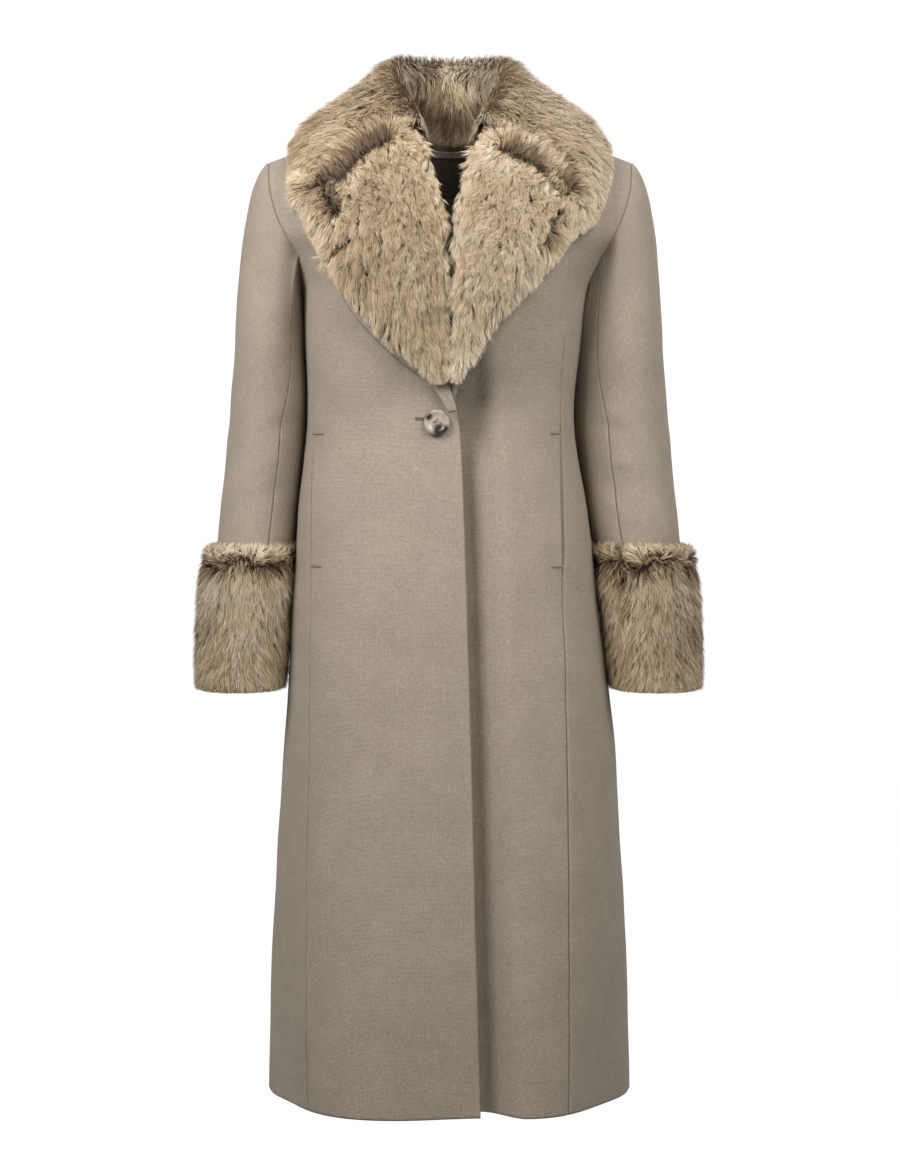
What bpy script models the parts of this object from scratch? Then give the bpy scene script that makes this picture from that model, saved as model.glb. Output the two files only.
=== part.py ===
"""Long fitted winter coat, filled out as if worn: wool panels, fur collar, fur lapels and fur cuffs.

Metres, +Z up. The coat faces -Y, and +X is the wearer's left. The origin lies between the shoulder
neck points, where the coat rests on the wearer. Angles round the body run from 0 at the centre
front, through 90 degrees at the wearer's left side seam, to 180 at the centre back.
"""

import math
from collections import namedtuple

import bmesh
import bpy
import numpy as np
from mathutils import Vector

# Driving dimensions of the cut
COAT_LENGTH = 1.113
SHOULDER_TIP = 0.207
NECK_HALF = 0.075
SHOULDER_DROP = 0.048
UNDERARM = 0.200
SHOULDER_SEAM_Y = 0.008
BACK_NECK_DROP = 0.014

# Cloth
WOOL = 0.0022
FACING = 0.0012
LABEL = 0.0008
WELT = 0.0015
SEAM_GAP = 0.0004
FUR_PILE = 0.020

# How the torso's sections turn over into the shoulders
SECTION_ROUNDNESS = 0.9
FRONT_ROLL = 0.20
BACK_ROLL = 0.13
SHOULDER_POWER = 0.75

# Fineness of the walls
LOWER_ROWS = 17
FRONT_COLUMNS = 10
BACK_COLUMNS = 18
ARMHOLE_STEP = 20
CHEST_BASE = -0.25

# Each section: its height, half width and shift to the side, how far its front and back stand from the
# shoulder line, and where the two front seams cross it
Section = namedtuple("Section", "height half_width centre front back seam_right seam_left")
SECTIONS = [
    Section(-1.113, 0.2075, -0.001, 0.150, 0.160, -0.157, 0.1290),
    Section(-0.950, 0.2030, -0.001, 0.146, 0.155, -0.160, 0.1305),
    Section(-0.836, 0.1972, -0.001, 0.141, 0.150, -0.160, 0.1300),
    Section(-0.687, 0.1875, -0.001, 0.134, 0.142, -0.158, 0.1285),
    Section(-0.549, 0.1750, -0.006, 0.126, 0.132, -0.157, 0.1260),
    Section(-0.445, 0.1654, -0.008, 0.118, 0.115, -0.156, 0.1245),
    Section(-0.336, 0.1523, -0.011, 0.110, 0.092, -0.1545, 0.1240),
    Section(-0.270, 0.1558, -0.009, 0.118, 0.100, -0.155, 0.1275),
    Section(-0.200, 0.1620, -0.006, 0.124, 0.112, -0.160, 0.1450),
    Section(-0.162, 0.1840, -0.004, 0.124, 0.115, -0.1694, 0.1694),
    Section(-0.130, 0.2260, -0.002, 0.124, 0.116, -0.1880, 0.1880),
    Section(-0.090, 0.2450, 0.000, 0.123, 0.114, -0.2000, 0.2000),
    Section(0.030, 0.2500, 0.000, 0.120, 0.110, -0.2070, 0.2070),
]

# Front edges below the break of the lapels, and the lines on which the lapels roll above it
FrontEdge = namedtuple("FrontEdge", "height right left")
FRONT_EDGES = [
    FrontEdge(-1.113, 0.0350, -0.035),
    FrontEdge(-0.950, 0.0300, -0.040),
    FrontEdge(-0.687, 0.0230, -0.047),
    FrontEdge(-0.445, 0.0155, -0.055),
    FrontEdge(-0.360, 0.0115, -0.058),
    FrontEdge(-0.336, 0.0080, -0.050),
    FrontEdge(-0.313, 0.0030, -0.030),
    FrontEdge(-0.285, -0.001, -0.010),
    FrontEdge(-0.250, -0.003, 0.003),
    FrontEdge(-0.150, -0.004, 0.004),
    FrontEdge(-0.100, -0.006, 0.006),
    FrontEdge(-0.050, -0.026, 0.026),
    FrontEdge(0.000, -0.075, 0.075),
]
UNDERLAP_STEP = 0.0065
UNDERLAP_RUN = 0.030
UNDERLAP_TOP = -0.200
UNDERLAP_FULL = -0.255

# The largest folds: each stands out, or dips, at its angle, and grows from its top down to the hem
Fold = namedtuple("Fold", "angle spread depth top")
FOLDS = [
    Fold(-28, 19, 0.0100, -0.42),
    Fold(7, 13, -0.0090, -0.36),
    Fold(28, 14, 0.0070, -0.45),
    Fold(58, 15, -0.0060, -0.50),
    Fold(-62, 14, -0.0060, -0.50),
    Fold(92, 20, 0.0020, -0.45),
    Fold(-96, 20, 0.0020, -0.45),
    Fold(128, 16, -0.0080, -0.45),
    Fold(-130, 17, -0.0080, -0.45),
    Fold(156, 15, 0.0100, -0.40),
    Fold(-157, 15, 0.0100, -0.40),
    Fold(180, 13, -0.0100, -0.36),
]

# Sleeves: the elliptical rings below the sleeve head, given for the wearer's left. Each ring's back is
# tucked in behind the body, and the left sleeve is wider on that side, by its ease
SleeveRing = namedtuple("SleeveRing", "height x y half_x half_y tuck_right tuck_left left_ease")
SLEEVE_RINGS = [
    SleeveRing(-0.260, 0.2070, 0.004, 0.0390, 0.0640, 0.004, 0.008, 0.0060),
    SleeveRing(-0.330, 0.2095, 0.008, 0.0425, 0.0620, 0.013, 0.033, 0.0060),
    SleeveRing(-0.390, 0.2150, 0.007, 0.0425, 0.0590, 0.013, 0.030, 0.0060),
    SleeveRing(-0.440, 0.2205, 0.003, 0.0420, 0.0560, 0.013, 0.021, 0.0060),
    SleeveRing(-0.490, 0.2260, -0.002, 0.0412, 0.0530, 0.009, 0.012, 0.0050),
    SleeveRing(-0.560, 0.2335, -0.008, 0.0380, 0.0500, 0.002, 0.000, 0.0030),
    SleeveRing(-0.648, 0.2395, -0.014, 0.0360, 0.0485, 0.002, 0.000, 0.0015),
]
LEFT_SLEEVE_SHIFT = 0.003
TUCK_POWER = 2.5
# Above the elbow the front seam swings in towards the body, by a turn in degrees
SEAM_TWIST = 16
SEAM_TWIST_FROM = 30
SEAM_TWIST_END = -0.36
# How the sleeve head leaves the armhole and turns down into the first ring
HEAD_OUT = 0.047
HEAD_CAP = 0.040
HEAD_EASE = 0.030
HEAD_FALL = 0.068
HEAD_FRONT_FALL = 0.032
HEAD_FLARE = 0.008
HEAD_HANG = 1.1
SLEEVE_GAP = 0.0006
SLEEVE_SEAM_TURN = 0.25
SLEEVE_HEAD_ROWS = 6
SLEEVE_ROWS = 11
SLEEVE_FRONT_SEAM = 120
SLEEVE_BACK_SEAM = 240
ARMHOLE_SWEEP = 0.041
ARMHOLE_NOTCH = 0.119

# Fur cuffs: how much of the pile shows at each height, and how flat it lies against the body
CuffRow = namedtuple("CuffRow", "height pile")
CUFF_ROWS = [
    CuffRow(-0.4870, 0.30),
    CuffRow(-0.4915, 0.68),
    CuffRow(-0.5030, 0.94),
    CuffRow(-0.5400, 1.02),
    CuffRow(-0.6000, 1.00),
    CuffRow(-0.6330, 0.92),
    CuffRow(-0.6465, 0.74),
    CuffRow(-0.6520, 0.34),
]
CUFF_COLUMNS = 26
CUFF_PILE_BY_BODY = {-1: (0.0058, 0.0130), 1: (0.0075, 0.0145)}

# Fur collar and lapels, from the centre back round to the break: the neck seam, the roll and the outer edge
CollarRow = namedtuple(
    "CollarRow", "station neck_x neck_y neck_z roll_x roll_y roll_z edge_x edge_y edge_z crown"
)
COLLAR_ROWS = [
    CollarRow(0.00, 0.000, 0.0680, -0.0115, 0.000, 0.0790, 0.058, 0.000, 0.1060, -0.052, 0.008),
    CollarRow(0.17, 0.050, 0.0520, -0.0045, 0.044, 0.0600, 0.057, 0.104, 0.0850, -0.058, 0.006),
    CollarRow(0.25, 0.068, 0.0310, 0.0005, 0.058, 0.0380, 0.053, 0.149, 0.0500, -0.051, 0.004),
    CollarRow(0.33, 0.072, 0.0100, 0.0040, 0.058, 0.0120, 0.046, 0.181, 0.0140, -0.031, 0.004),
    CollarRow(0.44, 0.055, -0.0370, -0.0170, 0.050, -0.0250, 0.026, 0.178, -0.0420, -0.070, 0.009),
    CollarRow(0.55, 0.024, -0.0690, -0.0380, 0.032, -0.0680, -0.016, 0.164, -0.0780, -0.116, 0.013),
    CollarRow(0.66, 0.009, -0.1030, -0.0720, 0.013, -0.1050, -0.072, 0.147, -0.0930, -0.152, 0.012),
    CollarRow(0.78, 0.003, -0.1290, -0.1450, 0.003, -0.1290, -0.145, 0.121, -0.1050, -0.196, 0.009),
    CollarRow(0.88, 0.003, -0.1300, -0.2200, 0.003, -0.1300, -0.220, 0.083, -0.1180, -0.244, 0.007),
    CollarRow(0.95, 0.003, -0.1275, -0.2700, 0.003, -0.1275, -0.270, 0.046, -0.1220, -0.280, 0.004),
    CollarRow(1.00, 0.002, -0.1240, -0.3030, 0.002, -0.1240, -0.303, 0.012, -0.1230, -0.305, 0.001),
]
GORGE = 0.575
GORGE_GAP = 0.0007
FRONT_NECK_ROWS = 5
NECK_GAP = 0.0009
ROLL_RADIUS = 0.006
LEFT_LAPEL_REACH = 0.85
LEFT_LAPEL_LEAN = 0.28
LEFT_LAPEL_FADE = 0.09
COLLAR_STATIONS = 27
LAPEL_STATIONS = 11
# Where the sections are cut, counted in the knots of the pile below
COLLAR_POSITIONS = np.array([0, 1, 2, 2.5, 3, 3.5, 4, 4.5, 5, 5.5, 6, 6.5, 7])
LAPEL_POSITIONS = np.array([0, 0.5, 1, 1.5, 2, 2.5, 3, 3.5, 4])
# Share of the pile along the collar's section: neck seam, stand, round the roll, down the fall, outer edge
COLLAR_PILE = (0.28, 0.55, 0.75, 0.95, 1.0, 1.0, 0.95, 0.36)
LAPEL_PILE = (0.34, 0.92, 1.0, 0.95, 0.36)
# The stand's pile, which goes up to the roll, lies flatter at the sides of the neck than behind it
STAND_KNOTS = 3
STAND_THINNING = 0.78
STAND_FROM = 0.12
STAND_FULL = 0.30
REVERS = 0.0020
BREAK = (0.006, -0.1215, -0.336)
BREAK_WIDTH = 0.35
REVERS_REACH = 0.010
REVERS_FROM = 0.72
FOOT_TOP = -0.060
FOOT_BOTTOM = -0.322
FOOT_GAP = 0.0015
FOOT_START = 0.15
FOOT_ROWS = 3
TIP_FROM = 0.86
TIP_THINNING = 0.55

# Pockets let into the front seams, the button, and the maker's bare label
POCKET_TOP = -0.359
POCKET_BOTTOM = -0.516
WELT_WIDTH = 0.011
BUTTON_X = -0.0143
BUTTON_Z = -0.348
BUTTON_RADIUS = 0.0142
BUTTON_THICKNESS = 0.0044
BUTTON_STEPS = 24
# Half section of the button from the middle of its face to its back, as shares of radius and thickness
BUTTON_PROFILE = [
    (0.0, 0.60), (0.45, 0.62), (0.66, 0.86), (0.82, 1.0), (0.94, 0.88),
    (1.0, 0.60), (0.96, 0.25), (0.78, 0.04), (0.0, 0.0),
]
BUTTON_HOLE_RADIUS = 0.0011
BUTTON_HOLE_CIRCLE = 0.0032
BUTTON_LIFT = 0.0022
# The facing and the label span columns each side of the centre back, and rows counted down from the neckline
FACING_COLUMNS = 2
FACING_ROWS = (0.2, 4.0)
LABEL_COLUMNS = 1
LABEL_ROWS = (0.8, 3.2)

# Colours as linear RGB, with roughness
Finish = namedtuple("Finish", "colour roughness")
WOOL_FINISH = Finish((0.38, 0.33, 0.27), 0.92)
FUR_FINISH = Finish((0.42, 0.31, 0.20), 0.85)
HORN_FINISH = Finish((0.46, 0.40, 0.32), 0.28)
LABEL_FINISH = Finish((0.033, 0.025, 0.018), 0.65)


def smooth_column(rows, key, column, at):
    """A column of a table, read between its rows with a monotone cubic, so that no row is overshot."""
    ordered = sorted(rows, key=lambda row: getattr(row, key))
    knots = np.array([getattr(row, key) for row in ordered])
    values = np.array([getattr(row, column) for row in ordered])
    gaps = np.diff(knots)
    slopes = np.diff(values) / gaps
    tangents = np.empty_like(values)
    tangents[0], tangents[-1] = slopes[0], slopes[-1]
    for i in range(1, len(values) - 1):
        before, after = slopes[i - 1], slopes[i]
        same_way = before * after > 0
        weight_a, weight_b = 2 * gaps[i] + gaps[i - 1], gaps[i] + 2 * gaps[i - 1]
        tangents[i] = (weight_a + weight_b) / (weight_a / before + weight_b / after) if same_way else 0.0
    at = np.clip(np.asarray(at, float), knots[0], knots[-1])
    span = np.clip(np.searchsorted(knots, at, side="right") - 1, 0, len(gaps) - 1)
    width = gaps[span]
    t = (at - knots[span]) / width
    return (
        (2 * t**3 - 3 * t**2 + 1) * values[span]
        + (t**3 - 2 * t**2 + t) * width * tangents[span]
        + (3 * t**2 - 2 * t**3) * values[span + 1]
        + (t**3 - t**2) * width * tangents[span + 1]
    )


def smoothstep(t):
    """0 below 0, 1 above 1, and an even turn between."""
    t = np.clip(t, 0.0, 1.0)
    return t * t * (3 - 2 * t)


def unit(vectors):
    """Vectors of length 1 along the last axis."""
    return vectors / np.maximum(np.linalg.norm(vectors, axis=-1, keepdims=True), 1e-12)


def power(value, exponent):
    """A power that keeps the sign."""
    return np.sign(value) * np.abs(value) ** exponent


# The torso's surface


def body(column, height):
    return smooth_column(SECTIONS, "height", column, height)


def shoulder_height(x):
    """Height of the shoulder line at a distance from the centre."""
    return -SHOULDER_DROP * (np.abs(x) - NECK_HALF) / (SHOULDER_TIP - NECK_HALF)


def fold_push(angle, height):
    """How far the folds move the cloth out at an angle round the body."""
    degrees = np.degrees(angle)
    push = np.zeros(np.broadcast(angle, height).shape)
    for fold in FOLDS:
        turn = (degrees - fold.angle + 180) % 360 - 180
        growth = np.clip((fold.top - height) / (fold.top + COAT_LENGTH), 0, None) ** 1.2
        push = push + fold.depth * np.exp(-((turn / fold.spread) ** 2)) * growth
    return push


def torso(angle, height):
    """Points of the coat's outer surface at angles round the body and heights."""
    angle, height = np.broadcast_arrays(np.asarray(angle, float), np.asarray(height, float))
    sine, cosine = np.sin(angle), np.cos(angle)
    x = body("centre", height) + body("half_width", height) * power(sine, SECTION_ROUNDNESS)
    ahead = cosine > 0
    depth = np.where(ahead, body("front", height), body("back", height))
    drop = np.clip((shoulder_height(x) - height) / np.where(ahead, FRONT_ROLL, BACK_ROLL), 0, 1)
    turn = (1 - (1 - drop) ** 2) ** SHOULDER_POWER
    y = SHOULDER_SEAM_Y * (1 - turn) - depth * turn * power(cosine, SECTION_ROUNDNESS)
    push = fold_push(angle, height)
    return np.stack([x + push * sine, y - push * cosine, height], axis=-1)


def torso_normal(angle, height):
    """Outward normals of the torso's surface."""
    step = 1e-4
    across = torso(angle + step, height) - torso(angle - step, height)
    up = torso(angle, height) - torso(angle, np.asarray(height) - step)
    return unit(np.cross(across, up))


def front_angle(x, height):
    """Angle of the point of the front at a distance from the centre plane."""
    share = np.clip((x - body("centre", height)) / body("half_width", height), -0.9995, 0.9995)
    return np.arcsin(power(share, 1 / SECTION_ROUNDNESS))


def layer(angle, height, offset):
    """Points over the torso's surface, or under it where the offset is negative."""
    offset = np.asarray(offset, float)[..., None] if np.ndim(offset) else offset
    return torso(angle, height) + torso_normal(angle, height) * offset


# Armholes and the rows that the panels share


def armhole_height(turn):
    """Height round the armhole: 0 degrees at the shoulder tip, 90 at the front, 180 under the arm."""
    half = (UNDERARM - SHOULDER_DROP) / 2
    return -SHOULDER_DROP - half + half * np.cos(np.radians(turn))


def armhole_x(height):
    return SHOULDER_TIP - ARMHOLE_SWEEP * np.clip((-SHOULDER_DROP - height) / ARMHOLE_NOTCH, 0, 1) ** 2


def armhole_angle(side, turn):
    """Angle round the body of a point of the armhole. Side is 1 on the wearer's left and -1 on the right."""
    turn = np.asarray(turn, float)
    turn = np.where(turn < 0, turn + 360, turn)
    height = armhole_height(turn)
    ahead = front_angle(side * armhole_x(height), height)
    behind = side * math.pi - ahead
    seam = front_angle(seam_x(side, height), height)
    side_seam = side * math.pi / 2
    under_front = seam + (side_seam - seam) * (turn - SLEEVE_FRONT_SEAM) / (180 - SLEEVE_FRONT_SEAM)
    under_back = side_seam + (behind - side_seam) * (turn - 180) / (SLEEVE_BACK_SEAM - 180)
    stretches = [turn <= SLEEVE_FRONT_SEAM, turn <= 180, turn <= SLEEVE_BACK_SEAM]
    return np.select(stretches, [ahead, under_front, under_back], behind)


def seam_x(side, height):
    return body("seam_left" if side > 0 else "seam_right", height)


def edge_x(side, height):
    return smooth_column(FRONT_EDGES, "height", "left" if side > 0 else "right", height)


ARMHOLE_TURNS = np.arange(0, 181, ARMHOLE_STEP)
NOTCH_HEIGHT = float(armhole_height(SLEEVE_FRONT_SEAM))
LOWER_HEIGHTS = np.linspace(-COAT_LENGTH, CHEST_BASE, LOWER_ROWS)
UNDER_NOTCH = np.array([t for t in ARMHOLE_TURNS[::-1] if t >= SLEEVE_FRONT_SEAM])
OVER_NOTCH = np.array([t for t in ARMHOLE_TURNS[::-1] if t < SLEEVE_FRONT_SEAM])
CHEST_HEIGHTS = armhole_height(UNDER_NOTCH)


def chest_rows(top):
    """Rows from the lower body to a point under the armhole, spaced in proportion to the front seam's."""
    return CHEST_BASE + (top - CHEST_BASE) * (CHEST_HEIGHTS - CHEST_BASE) / (NOTCH_HEIGHT - CHEST_BASE)


# Building walls


def grid_normals(points):
    """Normals of a grid of points, from its rows and columns."""
    along_rows = np.gradient(points, axis=0)
    along_columns = np.gradient(points, axis=1)
    return unit(np.cross(along_columns, along_rows))


def wall(name, inner, outer, finish, closed=False):
    """A closed wall between two grids of points: a grid of faces, extruded and moved to the outer points.

    A closed wall is a tube, whose last column lies on its first.
    """
    rows, columns = inner.shape[:2]
    bm = bmesh.new()
    row_of = bm.verts.layers.int.new("row")
    column_of = bm.verts.layers.int.new("column")
    bmesh.ops.create_grid(bm, x_segments=columns - 1, y_segments=rows - 1, size=0.5)
    for vert in bm.verts:
        vert[row_of] = round((vert.co.y + 0.5) * (rows - 1))
        vert[column_of] = round((vert.co.x + 0.5) * (columns - 1))
        vert.co = inner[vert[row_of], vert[column_of]]
    if closed:
        bmesh.ops.remove_doubles(bm, verts=bm.verts, dist=1e-6)
    grown = bmesh.ops.extrude_face_region(bm, geom=bm.faces[:], use_keep_orig=True)
    for item in grown["geom"]:
        if isinstance(item, bmesh.types.BMVert):
            item.co = outer[item[row_of], item[column_of]]
    bmesh.ops.triangulate(bm, faces=bm.faces, quad_method="SHORT_EDGE")
    bmesh.ops.recalc_face_normals(bm, faces=bm.faces)
    return add_object(name, bm, finish)


def add_object(name, bm, finish):
    mesh = bpy.data.meshes.new(name)
    bm.to_mesh(mesh)
    bm.free()
    mesh.shade_smooth()
    mesh.set_sharp_from_angle(angle=math.radians(40))
    obj = bpy.data.objects.new(name, mesh)
    PARTS.objects.link(obj)
    dress(obj, finish)
    return obj


def dress(obj, finish):
    """Gives an object its own material."""
    material = bpy.data.materials.new(obj.name)
    material.use_nodes = True
    shader = material.node_tree.nodes["Principled BSDF"]
    shader.inputs["Base Color"].default_value = (*finish.colour, 1)
    shader.inputs["Roughness"].default_value = finish.roughness
    shader.inputs["Metallic"].default_value = 0.0
    obj.data.materials.append(material)


# Body panels


def front_grid(side):
    """Outer points and normals of a front, from its edge and lapel roll to the front seam and armhole."""
    upper = armhole_height(OVER_NOTCH)
    outer_z = np.concatenate([LOWER_HEIGHTS, CHEST_HEIGHTS, upper])
    rise = UNDERARM / (UNDERARM - SHOULDER_DROP)
    inner_z = np.where(outer_z > -UNDERARM, -UNDERARM + (outer_z + UNDERARM) * rise, outer_z)
    outer_x = np.where(outer_z > NOTCH_HEIGHT, side * armhole_x(outer_z), seam_x(side, outer_z))
    outer_x = outer_x - side * SEAM_GAP
    inner_x = edge_x(side, inner_z)
    share = np.linspace(0, 1, FRONT_COLUMNS + 1)
    x = inner_x[:, None] + (outer_x - inner_x)[:, None] * share
    z = inner_z[:, None] + (outer_z - inner_z)[:, None] * share
    z[-1] = shoulder_height(x[-1])
    angle = front_angle(x, z)
    outer = layer(angle, z, -underlap(x, z) if side > 0 else np.zeros_like(x))
    outer[-1, :, 1] -= SEAM_GAP / 2
    return outer, torso_normal(angle, z)


def front_panel(side):
    """A front, up to the shoulder seam."""
    outer, normals = front_grid(side)
    inner = outer - normals * WOOL
    inner[-1] = outer[-1] - [0, 0, WOOL]
    return wall(f"front_{side_name(side)}", inner, outer, WOOL_FINISH)


def underlap(x, height):
    """How far the wearer's left front is tucked in where the right front lies over it."""
    across = smoothstep((edge_x(-1, height) + UNDERLAP_RUN - x) / UNDERLAP_RUN)
    down = smoothstep((UNDERLAP_TOP - height) / (UNDERLAP_TOP - UNDERLAP_FULL))
    return UNDERLAP_STEP * across * down


def on_front(side, x, height):
    """A point of a front's wall near its edge."""
    outer, _ = front_grid(side)
    row = np.interp(height, outer[:, 0, 2], np.arange(len(outer)))
    low = min(int(row), len(outer) - 2)
    line = outer[low] + (outer[low + 1] - outer[low]) * (row - low)
    return np.array([x, np.interp(side * x, side * line[:, 0], line[:, 1]), height])


def side_panel(side):
    """The panel between the front seam and the side seam, up to the underarm."""
    turns = UNDER_NOTCH[::-1]
    share = np.linspace(0, 1, len(turns))
    tops = armhole_height(turns)
    z = np.concatenate([np.repeat(LOWER_HEIGHTS[:, None], len(turns), axis=1), chest_rows_across(tops)])
    seam = front_angle(seam_x(side, z), z)
    angle = seam + (side * math.pi / 2 - seam) * share
    gap = SEAM_GAP / body("half_width", z)
    angle = angle + side * gap * (1 - 2 * share)
    outer = layer(angle, z, 0.0)
    inner = layer(angle, z, -WOOL)
    return wall(f"side_{side_name(side)}", inner, outer, WOOL_FINISH)


def chest_rows_across(tops):
    return np.stack([chest_rows(top) for top in tops], axis=1)


def back_grid():
    """Outer points and normals of the back, from side seam to side seam, up to the shoulders and neck."""
    over = np.arange(180 + ARMHOLE_STEP, 361, ARMHOLE_STEP)
    side_z = np.concatenate([LOWER_HEIGHTS, chest_rows(-UNDERARM), armhole_height(over)])
    left = np.full(side_z.shape, math.pi / 2)
    right = np.full(side_z.shape, 1.5 * math.pi)
    left[-len(over):] = armhole_angle(1, over)
    right[-len(over):] = armhole_angle(-1, over) + 2 * math.pi
    gap = SEAM_GAP / body("half_width", side_z)
    left, right = left + gap, right - gap
    share = np.linspace(0, 1, BACK_COLUMNS + 1)
    angle = left[:, None] + (right - left)[:, None] * share
    top = neckline_height(angle[-1])
    z = np.repeat(side_z[:, None], len(share), axis=1)
    climb = np.clip((side_z + UNDERARM) / (UNDERARM - SHOULDER_DROP), 0, 1)[:, None]
    z = z + climb * (top + SHOULDER_DROP)
    return torso(angle, z), torso_normal(angle, z)


def back_panel():
    """The back in one piece."""
    outer, normals = back_grid()
    outer[-1, :, 1] += SEAM_GAP / 2
    inner = outer - normals * WOOL
    on_shoulder = np.abs(outer[-1, :, 0]) > NECK_HALF
    inner[-1, on_shoulder] = outer[-1, on_shoulder] - [0, 0, WOOL]
    return wall("back", inner, outer, WOOL_FINISH)


def neckline_height(angle):
    """Height at which the back ends: on the shoulder seam, and along the neckline between them."""
    z = np.zeros_like(angle)
    for _ in range(4):
        x = torso(angle, z)[..., 0]
        neck = -BACK_NECK_DROP * (1 - np.clip(np.abs(x) / NECK_HALF, 0, 1) ** 2)
        z = np.where(np.abs(x) > NECK_HALF, shoulder_height(x), neck)
    return z


def side_name(side):
    return "left" if side > 0 else "right"


# Sleeves and cuffs


def sleeve_ring(side, turn, height, grow=0.0):
    """Points of the sleeve below its head, at turns that match those of the armhole."""
    turn = np.asarray(turn, float)
    high = smoothstep((height - SEAM_TWIST_END) / (SLEEVE_RINGS[0].height - SEAM_TWIST_END))
    by_seam = np.sin(np.radians(np.clip(turn - SEAM_TWIST_FROM, 0, 180))) ** 2
    phase = np.radians(turn + SEAM_TWIST * high * by_seam - 90)
    rings = {key: smooth_column(SLEEVE_RINGS, "height", key, height) for key in SleeveRing._fields[1:]}
    ease = rings["left_ease"] * (side > 0)
    behind = ((1 - np.cos(phase)) / 2) ** TUCK_POWER * (1 + np.sin(phase)) / 2
    x = rings["x"] - ease - (rings["half_x"] + ease + grow) * np.sin(phase)
    x = x - rings[f"tuck_{side_name(side)}"] * behind
    y = rings["y"] - (rings["half_y"] + grow) * np.cos(phase)
    x = side * x - LEFT_SLEEVE_SHIFT * (side > 0)
    return np.stack(np.broadcast_arrays(x, y, np.asarray(height, float)), axis=-1)


def sleeve_surface(side, turn):
    """A sleeve's outer points, in rows from the armhole down: the sleeve head, then the rings."""
    angle = armhole_angle(side, turn)
    height = armhole_height(turn)
    start = torso(angle, height)
    ring_top = SLEEVE_RINGS[0].height
    end = sleeve_ring(side, turn, ring_top)
    radians = np.radians(turn)
    up, ahead = np.cos(radians), np.sin(radians)
    across = side * (HEAD_OUT + HEAD_CAP * up)
    leave = np.stack([across, -HEAD_EASE * ahead, -(HEAD_FALL + HEAD_FRONT_FALL * ahead**2)], axis=-1)
    flare = np.full_like(up, side * HEAD_FLARE)
    arrive = np.stack([flare, 0 * up, HEAD_HANG * (ring_top - height)], axis=-1)
    start = start + unit(leave) * SLEEVE_GAP
    rows = []
    for t in np.linspace(0, 1, SLEEVE_HEAD_ROWS + 1):
        rows.append(
            (2 * t**3 - 3 * t**2 + 1) * start
            + (t**3 - 2 * t**2 + t) * leave
            + (3 * t**2 - 2 * t**3) * end
            + (t**3 - t**2) * arrive
        )
    for below in np.linspace(ring_top, SLEEVE_RINGS[-1].height, SLEEVE_ROWS + 1)[1:]:
        rows.append(sleeve_ring(side, turn, below))
    return np.stack(rows)


def sleeve_piece(side, name, first, last):
    """One of a sleeve's two pieces, between two turns round it. Its head follows the armhole."""
    turn = np.linspace(first, last, round((last - first) / ARMHOLE_STEP) + 1)
    turn[0] += SLEEVE_SEAM_TURN
    turn[-1] -= SLEEVE_SEAM_TURN
    beyond = np.concatenate([[first - ARMHOLE_STEP], turn, [last + ARMHOLE_STEP]])
    wide = sleeve_surface(side, beyond)
    outer = wide[:, 1:-1]
    normals = grid_normals(wide)[:, 1:-1] * side
    at_armhole = torso_normal(armhole_angle(side, turn), armhole_height(turn))
    over = np.sqrt(np.clip(np.cos(np.radians(turn)), 0, 1))[:, None]
    for row, fade in ((0, 1.0), (1, 0.5)):
        normals[row] = unit(normals[row] * (1 - over * fade) + at_armhole * over * fade)
    inner = outer - normals * WOOL
    return wall(f"{name}_sleeve_{side_name(side)}", inner, outer, WOOL_FINISH)


def fur_cuff(side):
    """A turned-back cuff: a tube of fur round the sleeve's end, pressed flatter on the side of the body."""
    turn = np.linspace(0, 360, CUFF_COLUMNS + 1)
    by_body = (np.clip(-np.cos(np.radians(turn)), 0, 1)) ** 1.5
    at_top, at_bottom = CUFF_PILE_BY_BODY[side]
    inner, outer = [], []
    for row in CUFF_ROWS:
        down = (CUFF_ROWS[0].height - row.height) / (CUFF_ROWS[0].height - CUFF_ROWS[-1].height)
        pressed = at_top + (at_bottom - at_top) * down
        pile = row.pile * (FUR_PILE + (pressed - FUR_PILE) * by_body)
        inner.append(sleeve_ring(side, turn, row.height, SLEEVE_GAP))
        outer.append(sleeve_ring(side, turn, row.height, SLEEVE_GAP + pile))
    return wall(f"cuff_{side_name(side)}", np.stack(inner), np.stack(outer), FUR_FINISH, closed=True)


# Collar and lapels


def collar_point(which, station):
    return np.stack(
        [smooth_column(COLLAR_ROWS, "station", f"{which}_{axis}", station) for axis in "xyz"], axis=-1
    )


def neckline():
    """The line the collar is sewn to, from the centre back over the shoulder and down the front edge."""
    back = back_grid()[0][-1, : BACK_COLUMNS // 2 + 1][::-1]
    outer, normals = front_grid(1)
    front = (outer + normals * NECK_GAP)[: -FRONT_NECK_ROWS - 1 : -1, 0]
    return np.concatenate([back[back[:, 0] < NECK_HALF] + [0, 0, NECK_GAP], front])


def nearest_on(line, guide):
    """The point of a line of points that lies nearest to a guide."""
    steps = np.diff(line, axis=0)
    share = np.clip(((guide - line[:-1]) * steps).sum(axis=1) / (steps**2).sum(axis=1), 0, 1)
    feet = line[:-1] + steps * share[:, None]
    return feet[np.argmin(np.linalg.norm(feet - guide, axis=1))]


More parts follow.
